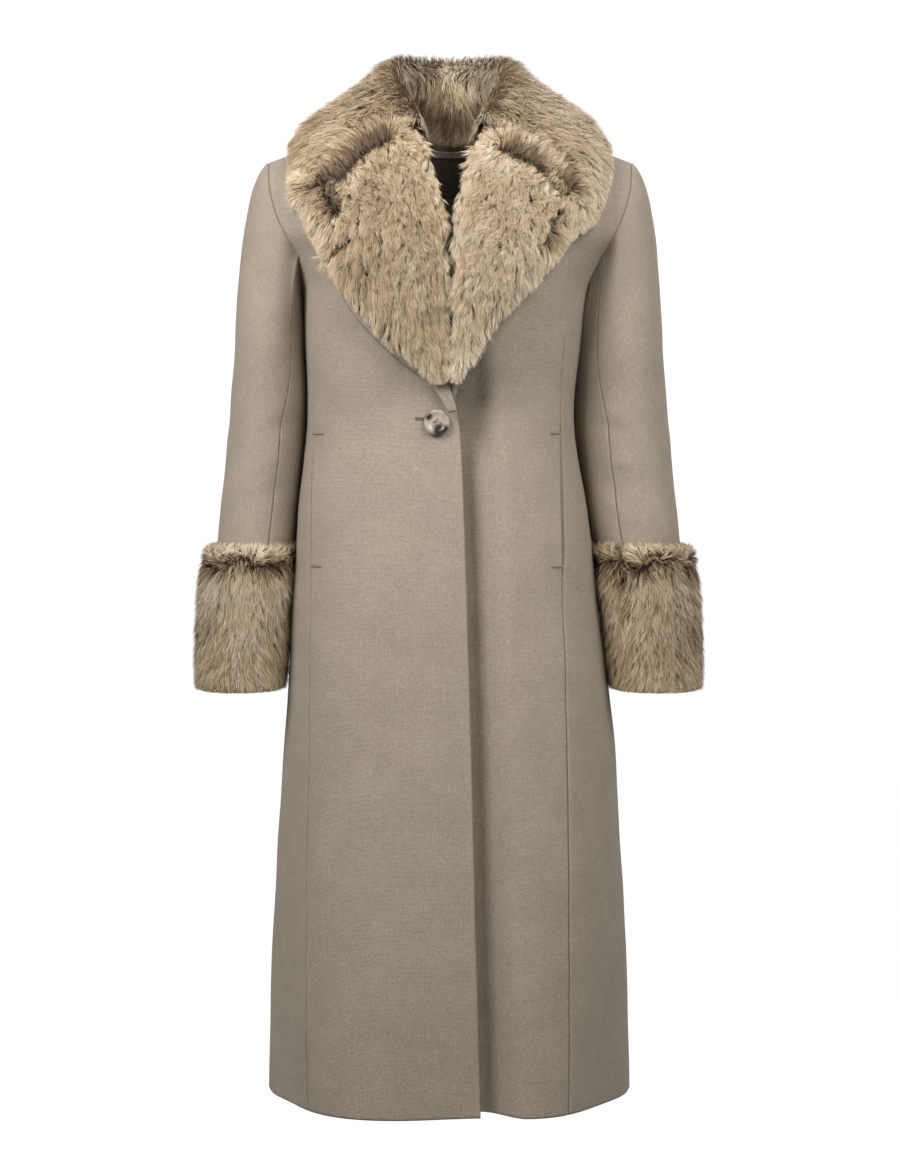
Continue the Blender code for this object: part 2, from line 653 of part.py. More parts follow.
def through(knots, positions):
    """Points of a smooth curve through knots, at positions counted in knots."""
    steps = np.diff(knots, axis=0)
    lengths = np.linalg.norm(steps, axis=1)[:, None]
    slopes = steps / lengths
    before, after = lengths[:-1], lengths[1:]
    tangents = np.concatenate(
        [slopes[:1], (slopes[:-1] * after + slopes[1:] * before) / (before + after), slopes[-1:]]
    )
    first = np.clip(np.floor(positions).astype(int), 0, len(knots) - 2)
    t = (np.asarray(positions) - first)[:, None]
    length = lengths[first]
    return (
        (2 * t**3 - 3 * t**2 + 1) * knots[first]
        + (t**3 - 2 * t**2 + t) * length * tangents[first]
        + (3 * t**2 - 2 * t**3) * knots[first + 1]
        + (t**3 - t**2) * length * tangents[first + 1]
    )


def collar_section(station, positions, with_stand):
    """The backing of the fur across the collar, and the pile's reach over it at the same positions.

    The backing goes up the stand from the neck seam, over the roll and down the fall. A lapel has no stand.
    """
    neck, roll, edge = (collar_point(which, station) for which in ("neck", "roll", "edge"))
    crown = float(smooth_column(COLLAR_ROWS, "station", "crown", station))
    chord = edge - roll
    ahead = collar_point("roll", min(station + 0.01, 1)) - collar_point("roll", max(station - 0.01, 0))
    away = unit(np.cross(ahead, chord))
    fall = [roll + chord * 0.42 + away * crown, roll + chord * 0.76 + away * crown * 0.75, edge]
    if with_stand:
        neck = nearest_on(neckline(), neck)
        over = unit(chord * [1, 1, 0])
        up = np.array([0, 0, 1])
        start = roll - over * ROLL_RADIUS
        turn = [start, roll + up * ROLL_RADIUS, roll + (over * 1.6 + up * 0.2) * ROLL_RADIUS]
        knots = np.array([neck, neck + (start - neck) * 0.55, *turn, *fall])
        reach = np.array([-over, -over, unit(up * 0.5 - over), up, unit(up + away), away, away, away])
        pile = np.array(COLLAR_PILE)
        beside_neck = smoothstep((station - STAND_FROM) / (STAND_FULL - STAND_FROM))
        pile[:STAND_KNOTS] *= 1 - STAND_THINNING * beside_neck
    else:
        knots = np.array([roll, roll + chord * 0.14 + away * crown * 0.6, *fall])
        reach = np.array([away] * len(knots))
        pile = np.array(LAPEL_PILE)
    reach = reach * (pile * FUR_PILE)[:, None]
    grown = [np.interp(positions, np.arange(len(knots)), reach[:, axis]) for axis in range(3)]
    return through(knots, positions), np.stack(grown, axis=-1)


def fur_collar():
    """The collar in one piece round the neck, from gorge seam to gorge seam."""
    stations = np.linspace(-(GORGE - GORGE_GAP), GORGE - GORGE_GAP, COLLAR_STATIONS)
    backing, grown = [], []
    for station in stations:
        flip = np.array([math.copysign(1, station), 1, 1])
        points, reach = collar_section(abs(station), COLLAR_POSITIONS, True)
        backing.append(points * flip)
        grown.append(reach * flip)
    backing, grown = np.stack(backing), np.stack(grown)
    return wall("collar", backing, backing + grown, FUR_FINISH)


LAPEL_ROWS = np.linspace(GORGE + GORGE_GAP, 1, LAPEL_STATIONS)


def lapel_points(side):
    """Backing points of a lapel, and its pile's reach. The left lapel goes a little less far out."""
    points, grown = zip(*(collar_section(station, LAPEL_POSITIONS, False) for station in LAPEL_ROWS))
    points, grown = np.stack(points), np.stack(grown)
    if side > 0:
        drawn = (1 - LEFT_LAPEL_REACH) * smoothstep((LAPEL_ROWS - GORGE) / LEFT_LAPEL_FADE)
        drawn_in = (points[:, :, 0] - points[:, :1, 0]) * drawn[:, None]
        points[:, :, 0] -= drawn_in
        points[:, :, 1] -= drawn_in * LEFT_LAPEL_LEAN
    return points * [side, 1, 1], grown * [side, 1, 1]


def fur_lapel(side):
    """A fur lapel, from the gorge seam down to the break."""
    backing, grown = lapel_points(side)
    near_tip = 1 - TIP_THINNING * smoothstep((LAPEL_ROWS - TIP_FROM) / (1 - TIP_FROM))
    return wall(f"lapel_{side_name(side)}", backing, backing + grown * near_tip[:, None, None], FUR_FINISH)


def revers(side):
    """The wool of the front, turned out under the fur lapel and, near the break, a little past its edge."""
    points, _ = lapel_points(side)
    outward = unit(points[:, -1] - points[:, -2])
    toward_tip = smoothstep((LAPEL_ROWS - REVERS_FROM) / (TIP_FROM - REVERS_FROM))
    past = SEAM_GAP + REVERS_REACH * toward_tip[:, None]
    points = np.concatenate([points, (points[:, -1] + outward * past)[:, None]], axis=1)
    end = np.array(BREAK) * [side, 1, 1]
    points = np.concatenate([points, end + (points[-1:] - points[-1:].mean(axis=1)) * BREAK_WIDTH])
    outer = points - grid_normals(points) * -side * SEAM_GAP
    roll = outer[:, 0]
    outer = np.concatenate([revers_foot(side, roll, 1)[:, None], outer], axis=1)
    inner = outer - grid_normals(outer) * -side * REVERS
    inner[:, 0] = revers_foot(side, roll, 2)
    return wall(f"revers_{side_name(side)}", inner, outer, WOOL_FINISH)


def revers_foot(side, roll, walls):
    """Where the revers leaves the front, behind its roll, some of its own walls from the front's edge."""
    grown = FOOT_START + (1 - FOOT_START) * smoothstep(np.arange(len(roll)) / FOOT_ROWS)
    feet = []
    for point, share in zip(roll, grown):
        z = np.clip(point[2], FOOT_BOTTOM, FOOT_TOP)
        edges = [side * edge_x(-1, min(point[2], FOOT_TOP))]
        if side > 0:
            edges.append(edge_x(1, z))
        x = side * max(side * point[0], max(edges) + walls * REVERS)
        foot = on_front(side, x, z) - [0, FOOT_GAP, 0]
        feet.append(point + (foot - point) * share)
    return np.array(feet)


# Small pieces


def pocket_welt(side):
    """A narrow welt on the front, along the pocket mouth in the front seam."""
    z = np.linspace(POCKET_BOTTOM, POCKET_TOP, 5)[:, None]
    share = np.linspace(0, 1, 3)
    x = seam_x(side, z) - side * (SEAM_GAP + WELT_WIDTH * (1 - share))
    angle = front_angle(x, z)
    z = np.broadcast_to(z, angle.shape)
    inner = layer(angle, z, SEAM_GAP)
    outer = layer(angle, z, SEAM_GAP + WELT)
    return wall(f"pocket_welt_{side_name(side)}", inner, outer, WOOL_FINISH)


def neck_strip(name, columns, first, last, depth, thickness, finish):
    """A strip inside the back of the neck, on the back's points, between rows counted from the neckline."""
    outer, normals = back_grid()
    middle = BACK_COLUMNS // 2
    outer, normals = (grid[::-1, middle - columns : middle + columns + 1] for grid in (outer, normals))
    rows = np.unique(np.concatenate([[first, last], np.arange(math.ceil(first), math.floor(last) + 1)]))
    low = np.floor(rows).astype(int)
    share = (rows - low)[:, None, None]
    outer, normals = (grid[low] * (1 - share) + grid[low + 1] * share for grid in (outer, normals))
    return wall(name, outer - normals * (depth + thickness), outer - normals * depth, finish)


def button():
    """A turned four-hole button, with a raised rim and a dished face, seated on the right front."""
    rim, rise = BUTTON_RADIUS, BUTTON_THICKNESS
    bm = bmesh.new()
    verts = [bm.verts.new((radius * rim, 0, height * rise)) for radius, height in BUTTON_PROFILE]
    for a, b in zip(verts, verts[1:]):
        bm.edges.new((a, b))
    disc = add_object("button", bm, HORN_FINISH)
    screw = disc.modifiers.new("turned", "SCREW")
    screw.axis = "Z"
    screw.steps = screw.render_steps = BUTTON_STEPS
    screw.use_merge_vertices = True
    screw.merge_threshold = 0.00005
    for i in range(4):
        turn = math.radians(45 + 90 * i)
        place = (BUTTON_HOLE_CIRCLE * math.cos(turn), BUTTON_HOLE_CIRCLE * math.sin(turn), rise / 2)
        bpy.ops.mesh.primitive_cylinder_add(
            vertices=8, radius=BUTTON_HOLE_RADIUS, depth=3 * rise, location=place
        )
        drill = bpy.context.object
        drill.name = f"drill_{i}"
        drill.display_type = "WIRE"
        drill.hide_render = True
        for owner in drill.users_collection:
            owner.objects.unlink(drill)
        CUTTERS.objects.link(drill)
        drill.parent = disc
        hole = disc.modifiers.new(f"hole_{i}", "BOOLEAN")
        hole.operation = "DIFFERENCE"
        hole.object = drill
    angle = front_angle(BUTTON_X, BUTTON_Z)
    normal = Vector(torso_normal(angle, BUTTON_Z))
    disc.location = Vector(torso(angle, BUTTON_Z)) + normal * BUTTON_LIFT
    disc.rotation_mode = "QUATERNION"
    disc.rotation_quaternion = normal.to_track_quat("Z", "Y")
    return disc


def collection(name):
    made = bpy.data.collections.new(name)
    bpy.context.scene.collection.children.link(made)
    return made


for leftover in list(bpy.data.objects):
    bpy.data.objects.remove(leftover)
PARTS = collection("winter_coat")
CUTTERS = collection("cutters")

for wearer_side in (-1, 1):
    front_panel(wearer_side)
    side_panel(wearer_side)
    sleeve_piece(wearer_side, "upper", SLEEVE_BACK_SEAM - 360, SLEEVE_FRONT_SEAM)
    sleeve_piece(wearer_side, "under", SLEEVE_FRONT_SEAM, SLEEVE_BACK_SEAM)
    fur_cuff(wearer_side)
    fur_lapel(wearer_side)
    revers(wearer_side)
    pocket_welt(wearer_side)
back_panel()
fur_collar()
facing_depth = WOOL + SEAM_GAP
neck_strip("neck_facing", FACING_COLUMNS, *FACING_ROWS, facing_depth, FACING, WOOL_FINISH)
label_depth = facing_depth + FACING + SEAM_GAP
neck_strip("label", LABEL_COLUMNS, *LABEL_ROWS, label_depth, LABEL, LABEL_FINISH)
button()
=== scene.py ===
"""The look of the winter coat: heathered wool panels, deep fur, a horn button and a bare woven label.

Metres, +Z up. The coat faces -Y and +X is the wearer's left. Every piece lies on the form of the solid
that it stands for, so the sizes here are those of the cut: see Torso, Sleeve and FurCollar.
"""

from __future__ import annotations

import logging
import math
from dataclasses import dataclass, field, replace
from enum import Enum
from typing import Any, Callable, NamedTuple, Sequence

import bmesh
import bpy
import numpy as np
from mathutils import Matrix, Quaternion, Vector

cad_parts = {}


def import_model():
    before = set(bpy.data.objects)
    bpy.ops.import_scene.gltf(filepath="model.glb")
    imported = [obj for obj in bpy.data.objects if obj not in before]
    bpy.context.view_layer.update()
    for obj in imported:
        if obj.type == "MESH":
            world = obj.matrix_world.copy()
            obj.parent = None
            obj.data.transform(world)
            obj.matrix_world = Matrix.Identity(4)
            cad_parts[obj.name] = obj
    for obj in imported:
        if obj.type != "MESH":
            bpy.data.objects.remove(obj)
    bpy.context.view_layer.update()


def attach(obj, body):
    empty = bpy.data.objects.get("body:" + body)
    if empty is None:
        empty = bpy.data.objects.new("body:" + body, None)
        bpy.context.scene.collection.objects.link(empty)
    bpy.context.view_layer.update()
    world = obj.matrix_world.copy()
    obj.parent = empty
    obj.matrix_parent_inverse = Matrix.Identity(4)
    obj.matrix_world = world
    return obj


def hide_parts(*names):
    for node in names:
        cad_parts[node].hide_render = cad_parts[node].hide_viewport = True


log = logging.getLogger("winter_coat")
Array = np.ndarray
Material = bpy.types.Material
Piece = bpy.types.Object
Tree = bpy.types.NodeTree
BODY = "root"
# Points closer than this are one point
MERGE = 1e-6


class Side(Enum):
    """The wearer's sides, as the sign of X."""

    RIGHT = -1
    LEFT = 1

    @property
    def word(self) -> str:
        """The side's name, as the pieces carry it."""
        return self.name.lower()


class Edge(Enum):
    """How a panel ends at a border: how deep the cloth turns in there, and over what width."""

    SEWN = (0.0024, 0.0016)
    TURNED = (0.0012, 0.0014)


class Ends(NamedTuple):
    """How a panel ends at the four borders of its grid. Where it is None, the cloth is left as cut."""

    first_column: Edge | None = None
    last_column: Edge | None = None
    first_row: Edge | None = None
    last_row: Edge | None = None


class Held(Enum):
    """How the coat holds a piece of cloth."""

    HUNG = "hung"
    FOLDED = "folded"
    LAID = "laid"


class Pair(NamedTuple):
    """A size that isn't the same on the wearer's right and left."""

    right: Any
    left: Any

    def on(self, side: Side) -> Any:
        """The size on one side."""
        return self.left if side is Side.LEFT else self.right


class Section(NamedTuple):
    """A level section of the torso, and where the two front seams cross it."""

    height: float
    half_width: float
    centre: float
    front: float
    back: float
    seam_right: float
    seam_left: float


class FrontEdge(NamedTuple):
    """Where the fronts end: below the break their edges, and above it the lines the lapels roll on."""

    height: float
    right: float
    left: float


class Fold(NamedTuple):
    """A long fold that stands out or dips at an angle, and grows from its top down to the hem."""

    angle: float
    spread: float
    depth: float
    top: float


class Crease(NamedTuple):
    """A soft crease on a line between two places, each a turn in degrees and a height."""

    turn_from: float
    height_from: float
    turn_to: float
    height_to: float
    width: float
    depth: float


class SleeveRing(NamedTuple):
    """A level ring of the left sleeve, how far its back is tucked in behind the body, and its ease."""

    height: float
    x: float
    y: float
    half_x: float
    half_y: float
    tuck_right: float
    tuck_left: float
    left_ease: float


class CuffRow(NamedTuple):
    """A level of a cuff, and the share of the pile that stands there."""

    height: float
    pile: float


class Parting(NamedTuple):
    """A line, seen from the front, on which the fur round the neck parts and shows its dark roots."""

    x_from: float
    z_from: float
    x_to: float
    z_to: float
    strength: float


class CollarRow(NamedTuple):
    """A station of the collar, from the centre back to the break: neck seam, roll, outer edge and bulge."""

    station: float
    neck_x: float
    neck_y: float
    neck_z: float
    roll_x: float
    roll_y: float
    roll_z: float
    edge_x: float
    edge_y: float
    edge_z: float
    crown: float


def table(kind: Callable[..., Any], *rows: tuple[float, ...]) -> tuple[Any, ...]:
    """A table of rows, each with the columns of one kind."""
    return tuple(kind(*row) for row in rows)


SECTIONS = table(
    Section,
    (-1.113, 0.2075, -0.001, 0.150, 0.160, -0.157, 0.1290),
    (-0.950, 0.2030, -0.001, 0.146, 0.155, -0.160, 0.1305),
    (-0.836, 0.1972, -0.001, 0.141, 0.150, -0.160, 0.1300),
    (-0.687, 0.1875, -0.001, 0.134, 0.142, -0.158, 0.1285),
    (-0.549, 0.1750, -0.006, 0.126, 0.132, -0.157, 0.1260),
    (-0.445, 0.1654, -0.008, 0.118, 0.115, -0.156, 0.1245),
    (-0.336, 0.1523, -0.011, 0.110, 0.092, -0.1545, 0.1240),
    (-0.270, 0.1558, -0.009, 0.118, 0.100, -0.155, 0.1275),
    (-0.200, 0.1620, -0.006, 0.124, 0.112, -0.160, 0.1450),
    (-0.162, 0.1840, -0.004, 0.124, 0.115, -0.1694, 0.1694),
    (-0.130, 0.2260, -0.002, 0.124, 0.116, -0.1880, 0.1880),
    (-0.090, 0.2450, 0.000, 0.123, 0.114, -0.2000, 0.2000),
    (0.030, 0.2500, 0.000, 0.120, 0.110, -0.2070, 0.2070),
)
FRONT_EDGES = table(
    FrontEdge,
    (-1.113, 0.0350, -0.035),
    (-0.950, 0.0300, -0.040),
    (-0.687, 0.0230, -0.047),
    (-0.445, 0.0155, -0.055),
    (-0.360, 0.0115, -0.058),
    (-0.336, 0.0080, -0.050),
    (-0.313, 0.0030, -0.030),
    (-0.285, -0.001, -0.010),
    (-0.250, -0.003, 0.003),
    (-0.150, -0.004, 0.004),
    (-0.100, -0.010, 0.010),
    (-0.050, -0.038, 0.038),
    (0.000, -0.075, 0.075),
)
FOLDS = table(
    Fold,
    (-28, 19, 0.0100, -0.42),
    (7, 13, -0.0090, -0.36),
    (28, 14, 0.0070, -0.45),
    (58, 15, -0.0060, -0.50),
    (-62, 14, -0.0060, -0.50),
    (92, 20, 0.0020, -0.45),
    (-96, 20, 0.0020, -0.45),
    (128, 16, -0.0080, -0.45),
    (-130, 17, -0.0080, -0.45),
    (156, 15, 0.0100, -0.40),
    (-157, 15, 0.0100, -0.40),
    (180, 13, -0.0100, -0.36),
)
# The first lie by the lapels and the button, then the waist, the skirt and the back
BODY_CREASES = table(
    Crease,
    (11, -0.245, 14, -0.420, 0.013, -0.0060),
    (24, -0.275, 27, -0.430, 0.014, 0.0014),
    (-7, -0.362, -38, -0.338, 0.011, 0.0011),
    (-6, -0.392, -34, -0.412, 0.014, -0.0009),
    (-12, -0.290, -30, -0.385, 0.022, -0.0055),
    (-30, -0.330, -50, -0.300, 0.018, 0.0016),
    (-62, -0.205, -36, -0.275, 0.014, -0.0014),
    (60, -0.205, 40, -0.285, 0.014, -0.0014),
    (-82, -0.328, -52, -0.345, 0.010, 0.0012),
    (80, -0.338, 50, -0.350, 0.010, 0.0012),
    (-84, -0.362, -58, -0.372, 0.010, -0.0010),
    (-12, -0.520, -17, -1.050, 0.022, -0.0020),
    (41, -0.540, 47, -1.080, 0.020, 0.0018),
    (-45, -0.560, -50, -1.100, 0.022, 0.0015),
    (72, -0.560, 78, -1.060, 0.024, -0.0018),
    (150, -0.332, 208, -0.325, 0.012, 0.0024),
    (142, -0.356, 200, -0.363, 0.012, -0.0020),
    (166, -0.302, 224, -0.312, 0.011, 0.0014),
    (121, -0.160, 152, -0.245, 0.016, -0.0017),
    (239, -0.160, 209, -0.240, 0.016, -0.0017),
    (169, -0.500, 173, -1.080, 0.022, 0.0026),
    (197, -0.520, 191, -1.050, 0.022, -0.0024),
    (222, -0.560, 228, -1.090, 0.024, 0.0020),
)
SLEEVE_RINGS = table(
    SleeveRing,
    (-0.260, 0.2070, 0.004, 0.0390, 0.0640, 0.021, 0.049, 0.0060),
    (-0.330, 0.2095, 0.008, 0.0425, 0.0620, 0.020, 0.041, 0.0060),
    (-0.390, 0.2150, 0.007, 0.0425, 0.0590, 0.018, 0.037, 0.0060),
    (-0.440, 0.2205, 0.003, 0.0420, 0.0560, 0.027, 0.033, 0.0060),
    (-0.490, 0.2260, -0.002, 0.0412, 0.0530, 0.027, 0.024, 0.0050),
    (-0.560, 0.2335, -0.008, 0.0380, 0.0500, 0.006, 0.006, 0.0030),
    (-0.648, 0.2395, -0.014, 0.0360, 0.0485, 0.002, 0.000, 0.0015),
)
# Round the elbow, then below the sleeve head and above the cuff
SLEEVE_CREASES = table(
    Crease,
    (84, -0.362, 152, -0.338, 0.009, -0.0020),
    (66, -0.398, 142, -0.384, 0.009, 0.0015),
    (96, -0.428, 164, -0.410, 0.009, -0.0014),
    (-42, -0.352, 36, -0.372, 0.014, 0.0009),
    (204, -0.352, 276, -0.380, 0.012, -0.0016),
    (196, -0.400, 262, -0.418, 0.011, 0.0012),
    (58, -0.165, 104, -0.250, 0.013, -0.0012),
    (292, -0.175, 250, -0.255, 0.013, -0.0012),
    (16, -0.468, 118, -0.452, 0.010, 0.0010),
    (232, -0.455, 318, -0.470, 0.010, 0.0010),
)
CUFF_ROWS = table(
    CuffRow,
    (-0.4870, 0.56),
    (-0.4915, 0.86),
    (-0.5030, 0.94),
    (-0.5400, 1.02),
    (-0.6000, 1.00),
    (-0.6330, 0.92),
    (-0.6465, 0.74),
    (-0.6500, 0.34),
)
COLLAR_ROWS = table(
    CollarRow,
    (0.00, 0.000, 0.0680, -0.0115, 0.000, 0.0790, 0.062, 0.000, 0.1060, -0.052, 0.008),
    (0.17, 0.050, 0.0520, -0.0045, 0.044, 0.0600, 0.061, 0.104, 0.0850, -0.058, 0.006),
    (0.25, 0.068, 0.0310, 0.0005, 0.058, 0.0380, 0.056, 0.149, 0.0500, -0.051, 0.004),
    (0.33, 0.072, 0.0100, 0.0040, 0.058, 0.0120, 0.046, 0.181, 0.0140, -0.031, 0.004),
    (0.44, 0.055, -0.0370, -0.0170, 0.055, -0.0250, 0.026, 0.178, -0.0420, -0.070, 0.009),
    (0.55, 0.024, -0.0690, -0.0380, 0.038, -0.0680, -0.016, 0.164, -0.0780, -0.116, 0.013),
    (0.66, 0.009, -0.1030, -0.0720, 0.018, -0.1050, -0.072, 0.147, -0.0930, -0.152, 0.012),
    (0.78, 0.003, -0.1290, -0.1450, 0.003, -0.1290, -0.145, 0.121, -0.1050, -0.196, 0.009),
    (0.88, 0.003, -0.1300, -0.2200, 0.003, -0.1300, -0.220, 0.083, -0.1180, -0.244, 0.007),
    (0.95, 0.003, -0.1275, -0.2700, 0.003, -0.1275, -0.270, 0.046, -0.1220, -0.280, 0.004),
    (1.00, 0.002, -0.1240, -0.3030, 0.002, -0.1240, -0.303, 0.012, -0.1230, -0.305, 0.001),
)
# The arch of each side first, then the lines under it
PARTINGS = table(
    Parting,
    (-0.0740, -0.0300, -0.1007, -0.0445, 1.0),
    (-0.1007, -0.0445, -0.1267, -0.0725, 1.0),
    (-0.1267, -0.0725, -0.1547, -0.0830, 0.8),
    (0.0640, -0.0420, 0.0981, -0.0581, 0.9),
    (0.0981, -0.0581, 0.1318, -0.0887, 0.9),
    (-0.1448, -0.0770, -0.1304, -0.1121, 0.6),
    (-0.1143, -0.1465, -0.1340, -0.1640, 0.32),
    (0.1255, -0.0572, 0.1393, -0.0880, 0.6),
    (0.1250, -0.1145, 0.1060, -0.1510, 0.3),
)


def read(rows: Sequence[Any], column: str, at: Array | float) -> Array:
    """Reads a column of a table between its rows with a monotone cubic.

    Args:
        rows: Rows of one named tuple, ordered by their first field.
        column: The field to read.
        at: Where to read it, in the first field's terms.

    Returns:
        The field there, never past the rows on either side.
    """
    ordered = sorted(rows)
    knots = np.array([row[0] for row in ordered])
    values = np.array([getattr(row, column) for row in ordered])
    gaps = np.diff(knots)
    slopes = np.diff(values) / gaps
    tangents = np.concatenate([slopes[:1], np.zeros(len(values) - 2), slopes[-1:]])
    for i in range(1, len(values) - 1):
        before, after = slopes[i - 1], slopes[i]
        if before * after > 0:
            weight_a, weight_b = 2 * gaps[i] + gaps[i - 1], gaps[i] + 2 * gaps[i - 1]
            tangents[i] = (weight_a + weight_b) / (weight_a / before + weight_b / after)
    at = np.clip(np.asarray(at, float), knots[0], knots[-1])
    span = np.clip(np.searchsorted(knots, at, side="right") - 1, 0, len(gaps) - 1)
    width = gaps[span]
    t = (at - knots[span]) / width
    return hermite(t, values[span], width * tangents[span], values[span + 1], width * tangents[span + 1])


def hermite(t: Array, start: Array, leave: Array, end: Array, arrive: Array) -> Array:
    """Runs a cubic between two points.

    Args:
        t: Shares of the way.
        start: The first point.
        leave: The slope there.
        end: The last point.
        arrive: The slope there.

    Returns:
        The cubic's points.
    """
    return (
        (2 * t**3 - 3 * t**2 + 1) * start
        + (t**3 - 2 * t**2 + t) * leave
        + (3 * t**2 - 2 * t**3) * end
        + (t**3 - t**2) * arrive
    )


def smoothstep(t: Array | float) -> Array:
    """0 below 0, 1 above 1 and an even turn between."""
    t = np.clip(t, 0.0, 1.0)
    return t * t * (3 - 2 * t)


class Ramp(NamedTuple):
    """A soft step from 0 at its start to 1 after its run, which is negative where it rises the other way."""

    start: float
    run: float

    def at(self, place: Array | float) -> Array:
        """The step's height at places."""
        return smoothstep((place - self.start) / self.run)


def bump(at: Array | float, centre: float, width: float) -> Array:
    """A soft bump of height 1."""
    return np.exp(-(((at - centre) / width) ** 2))


def unit(vectors: Array) -> Array:
    """Vectors of length 1 along the last axis."""
    return vectors / np.maximum(np.linalg.norm(vectors, axis=-1, keepdims=True), 1e-12)


def power(value: Array, exponent: float) -> Array:
    """A power that keeps the sign."""
    return np.sign(value) * np.abs(value) ** exponent


def crowded(first: float, last: float, count: int, crowd: float = 0.8) -> Array:
    """Numbers from first to last in steps that get shorter towards both ends, even ones if crowd is 0."""
    t = np.linspace(0, 1, count + 1)
    return first + (last - first) * (t - crowd * np.sin(2 * math.pi * t) / (2 * math.pi))


def grid_normals(points: Array) -> Array:
    """Normals of a grid of points, from its columns and rows."""
    return unit(np.cross(np.gradient(points, axis=1), np.gradient(points, axis=0)))


def run(points: Array, axis: int) -> Array:
    """Measures along a grid's rows or columns from its first border.

    Args:
        points: The grid.
        axis: 1 to measure along its rows, 0 along its columns.

    Returns:
        The distance of each point.
    """
    steps = np.linalg.norm(np.diff(points, axis=axis), axis=-1)
    pad = [(0, 0), (0, 0)]
    pad[axis] = (1, 0)
    return np.cumsum(np.pad(steps, pad), axis=axis)


@dataclass(frozen=True)
class Wander:
    """Smooth random numbers from -1 to 1 over a plane, the same ones on every run."""

    seed: int
    cell: float

    def corner(self, i: Array, j: Array) -> Array:
        """Hashes a corner of the lattice.

        Args:
            i: The corner's column.
            j: Its row.

        Returns:
            The number there.
        """
        mixed = (i * 374761393 + j * 668265263 + self.seed * 974634777) & 0xFFFFFFFF
        mixed = ((mixed ^ (mixed >> 13)) * 1274126177) & 0xFFFFFFFF
        return ((mixed ^ (mixed >> 16)) & 0xFFFF) / 32767.5 - 1

    def at(self, u: Array, v: Array) -> Array:
        """Reads the numbers.

        Args:
            u: First distance, in metres.
            v: Second distance, in metres.

        Returns:
            A number for each place, which changes over about one cell.
        """
        u, v = np.broadcast_arrays(np.asarray(u) / self.cell, np.asarray(v) / self.cell)
        i, j = np.floor(u).astype(np.int64), np.floor(v).astype(np.int64)
        s, t = smoothstep(u - i), smoothstep(v - j)
        low = self.corner(i, j) * (1 - s) + self.corner(i + 1, j) * s
        high = self.corner(i, j + 1) * (1 - s) + self.corner(i + 1, j + 1) * s
        return low * (1 - t) + high * t


def tube_wander(
    seeds: Sequence[int], cells: Sequence[float], across: Array, deep: Array, height: Array
) -> Array:
    """Smooth random numbers round a tube: those of its sides and those of its front and back, added up."""
    return Wander(seeds[0], cells[0]).at(across, height) + Wander(seeds[1], cells[1]).at(deep, height)


# How soon a crease ends, and how blunt its ends are
CREASE_MARGIN, CREASE_TAPER = 0.02, 0.7


def crease_push(creases: Sequence[Crease], turn: Array, height: Array, radius: float) -> Array:
    """How far creases move the cloth out.

    Args:
        creases: The creases.
        turn: Turns of the points, in degrees.
        height: Heights of the points.
        radius: Radius that turns a turn into a length.

    Returns:
        The push at each point, in metres.
    """
    push = np.zeros(np.broadcast(turn, height).shape)
    for crease in creases:
        along = np.array(
            [math.radians(crease.turn_to - crease.turn_from) * radius, crease.height_to - crease.height_from]
        )
        across = np.radians((turn - crease.turn_from + 180) % 360 - 180) * radius
        rise = height - crease.height_from
        share = (across * along[0] + rise * along[1]) / (along @ along)
        nearest = np.clip(share, 0, 1)
        away = np.hypot(across - nearest * along[0], rise - nearest * along[1])
        inside = np.clip(share, CREASE_MARGIN, 1 - CREASE_MARGIN)
        taper = np.sin(math.pi * inside) ** CREASE_TAPER
        push = push + crease.depth * np.exp(-((away / crease.width) ** 2)) * taper
    return push


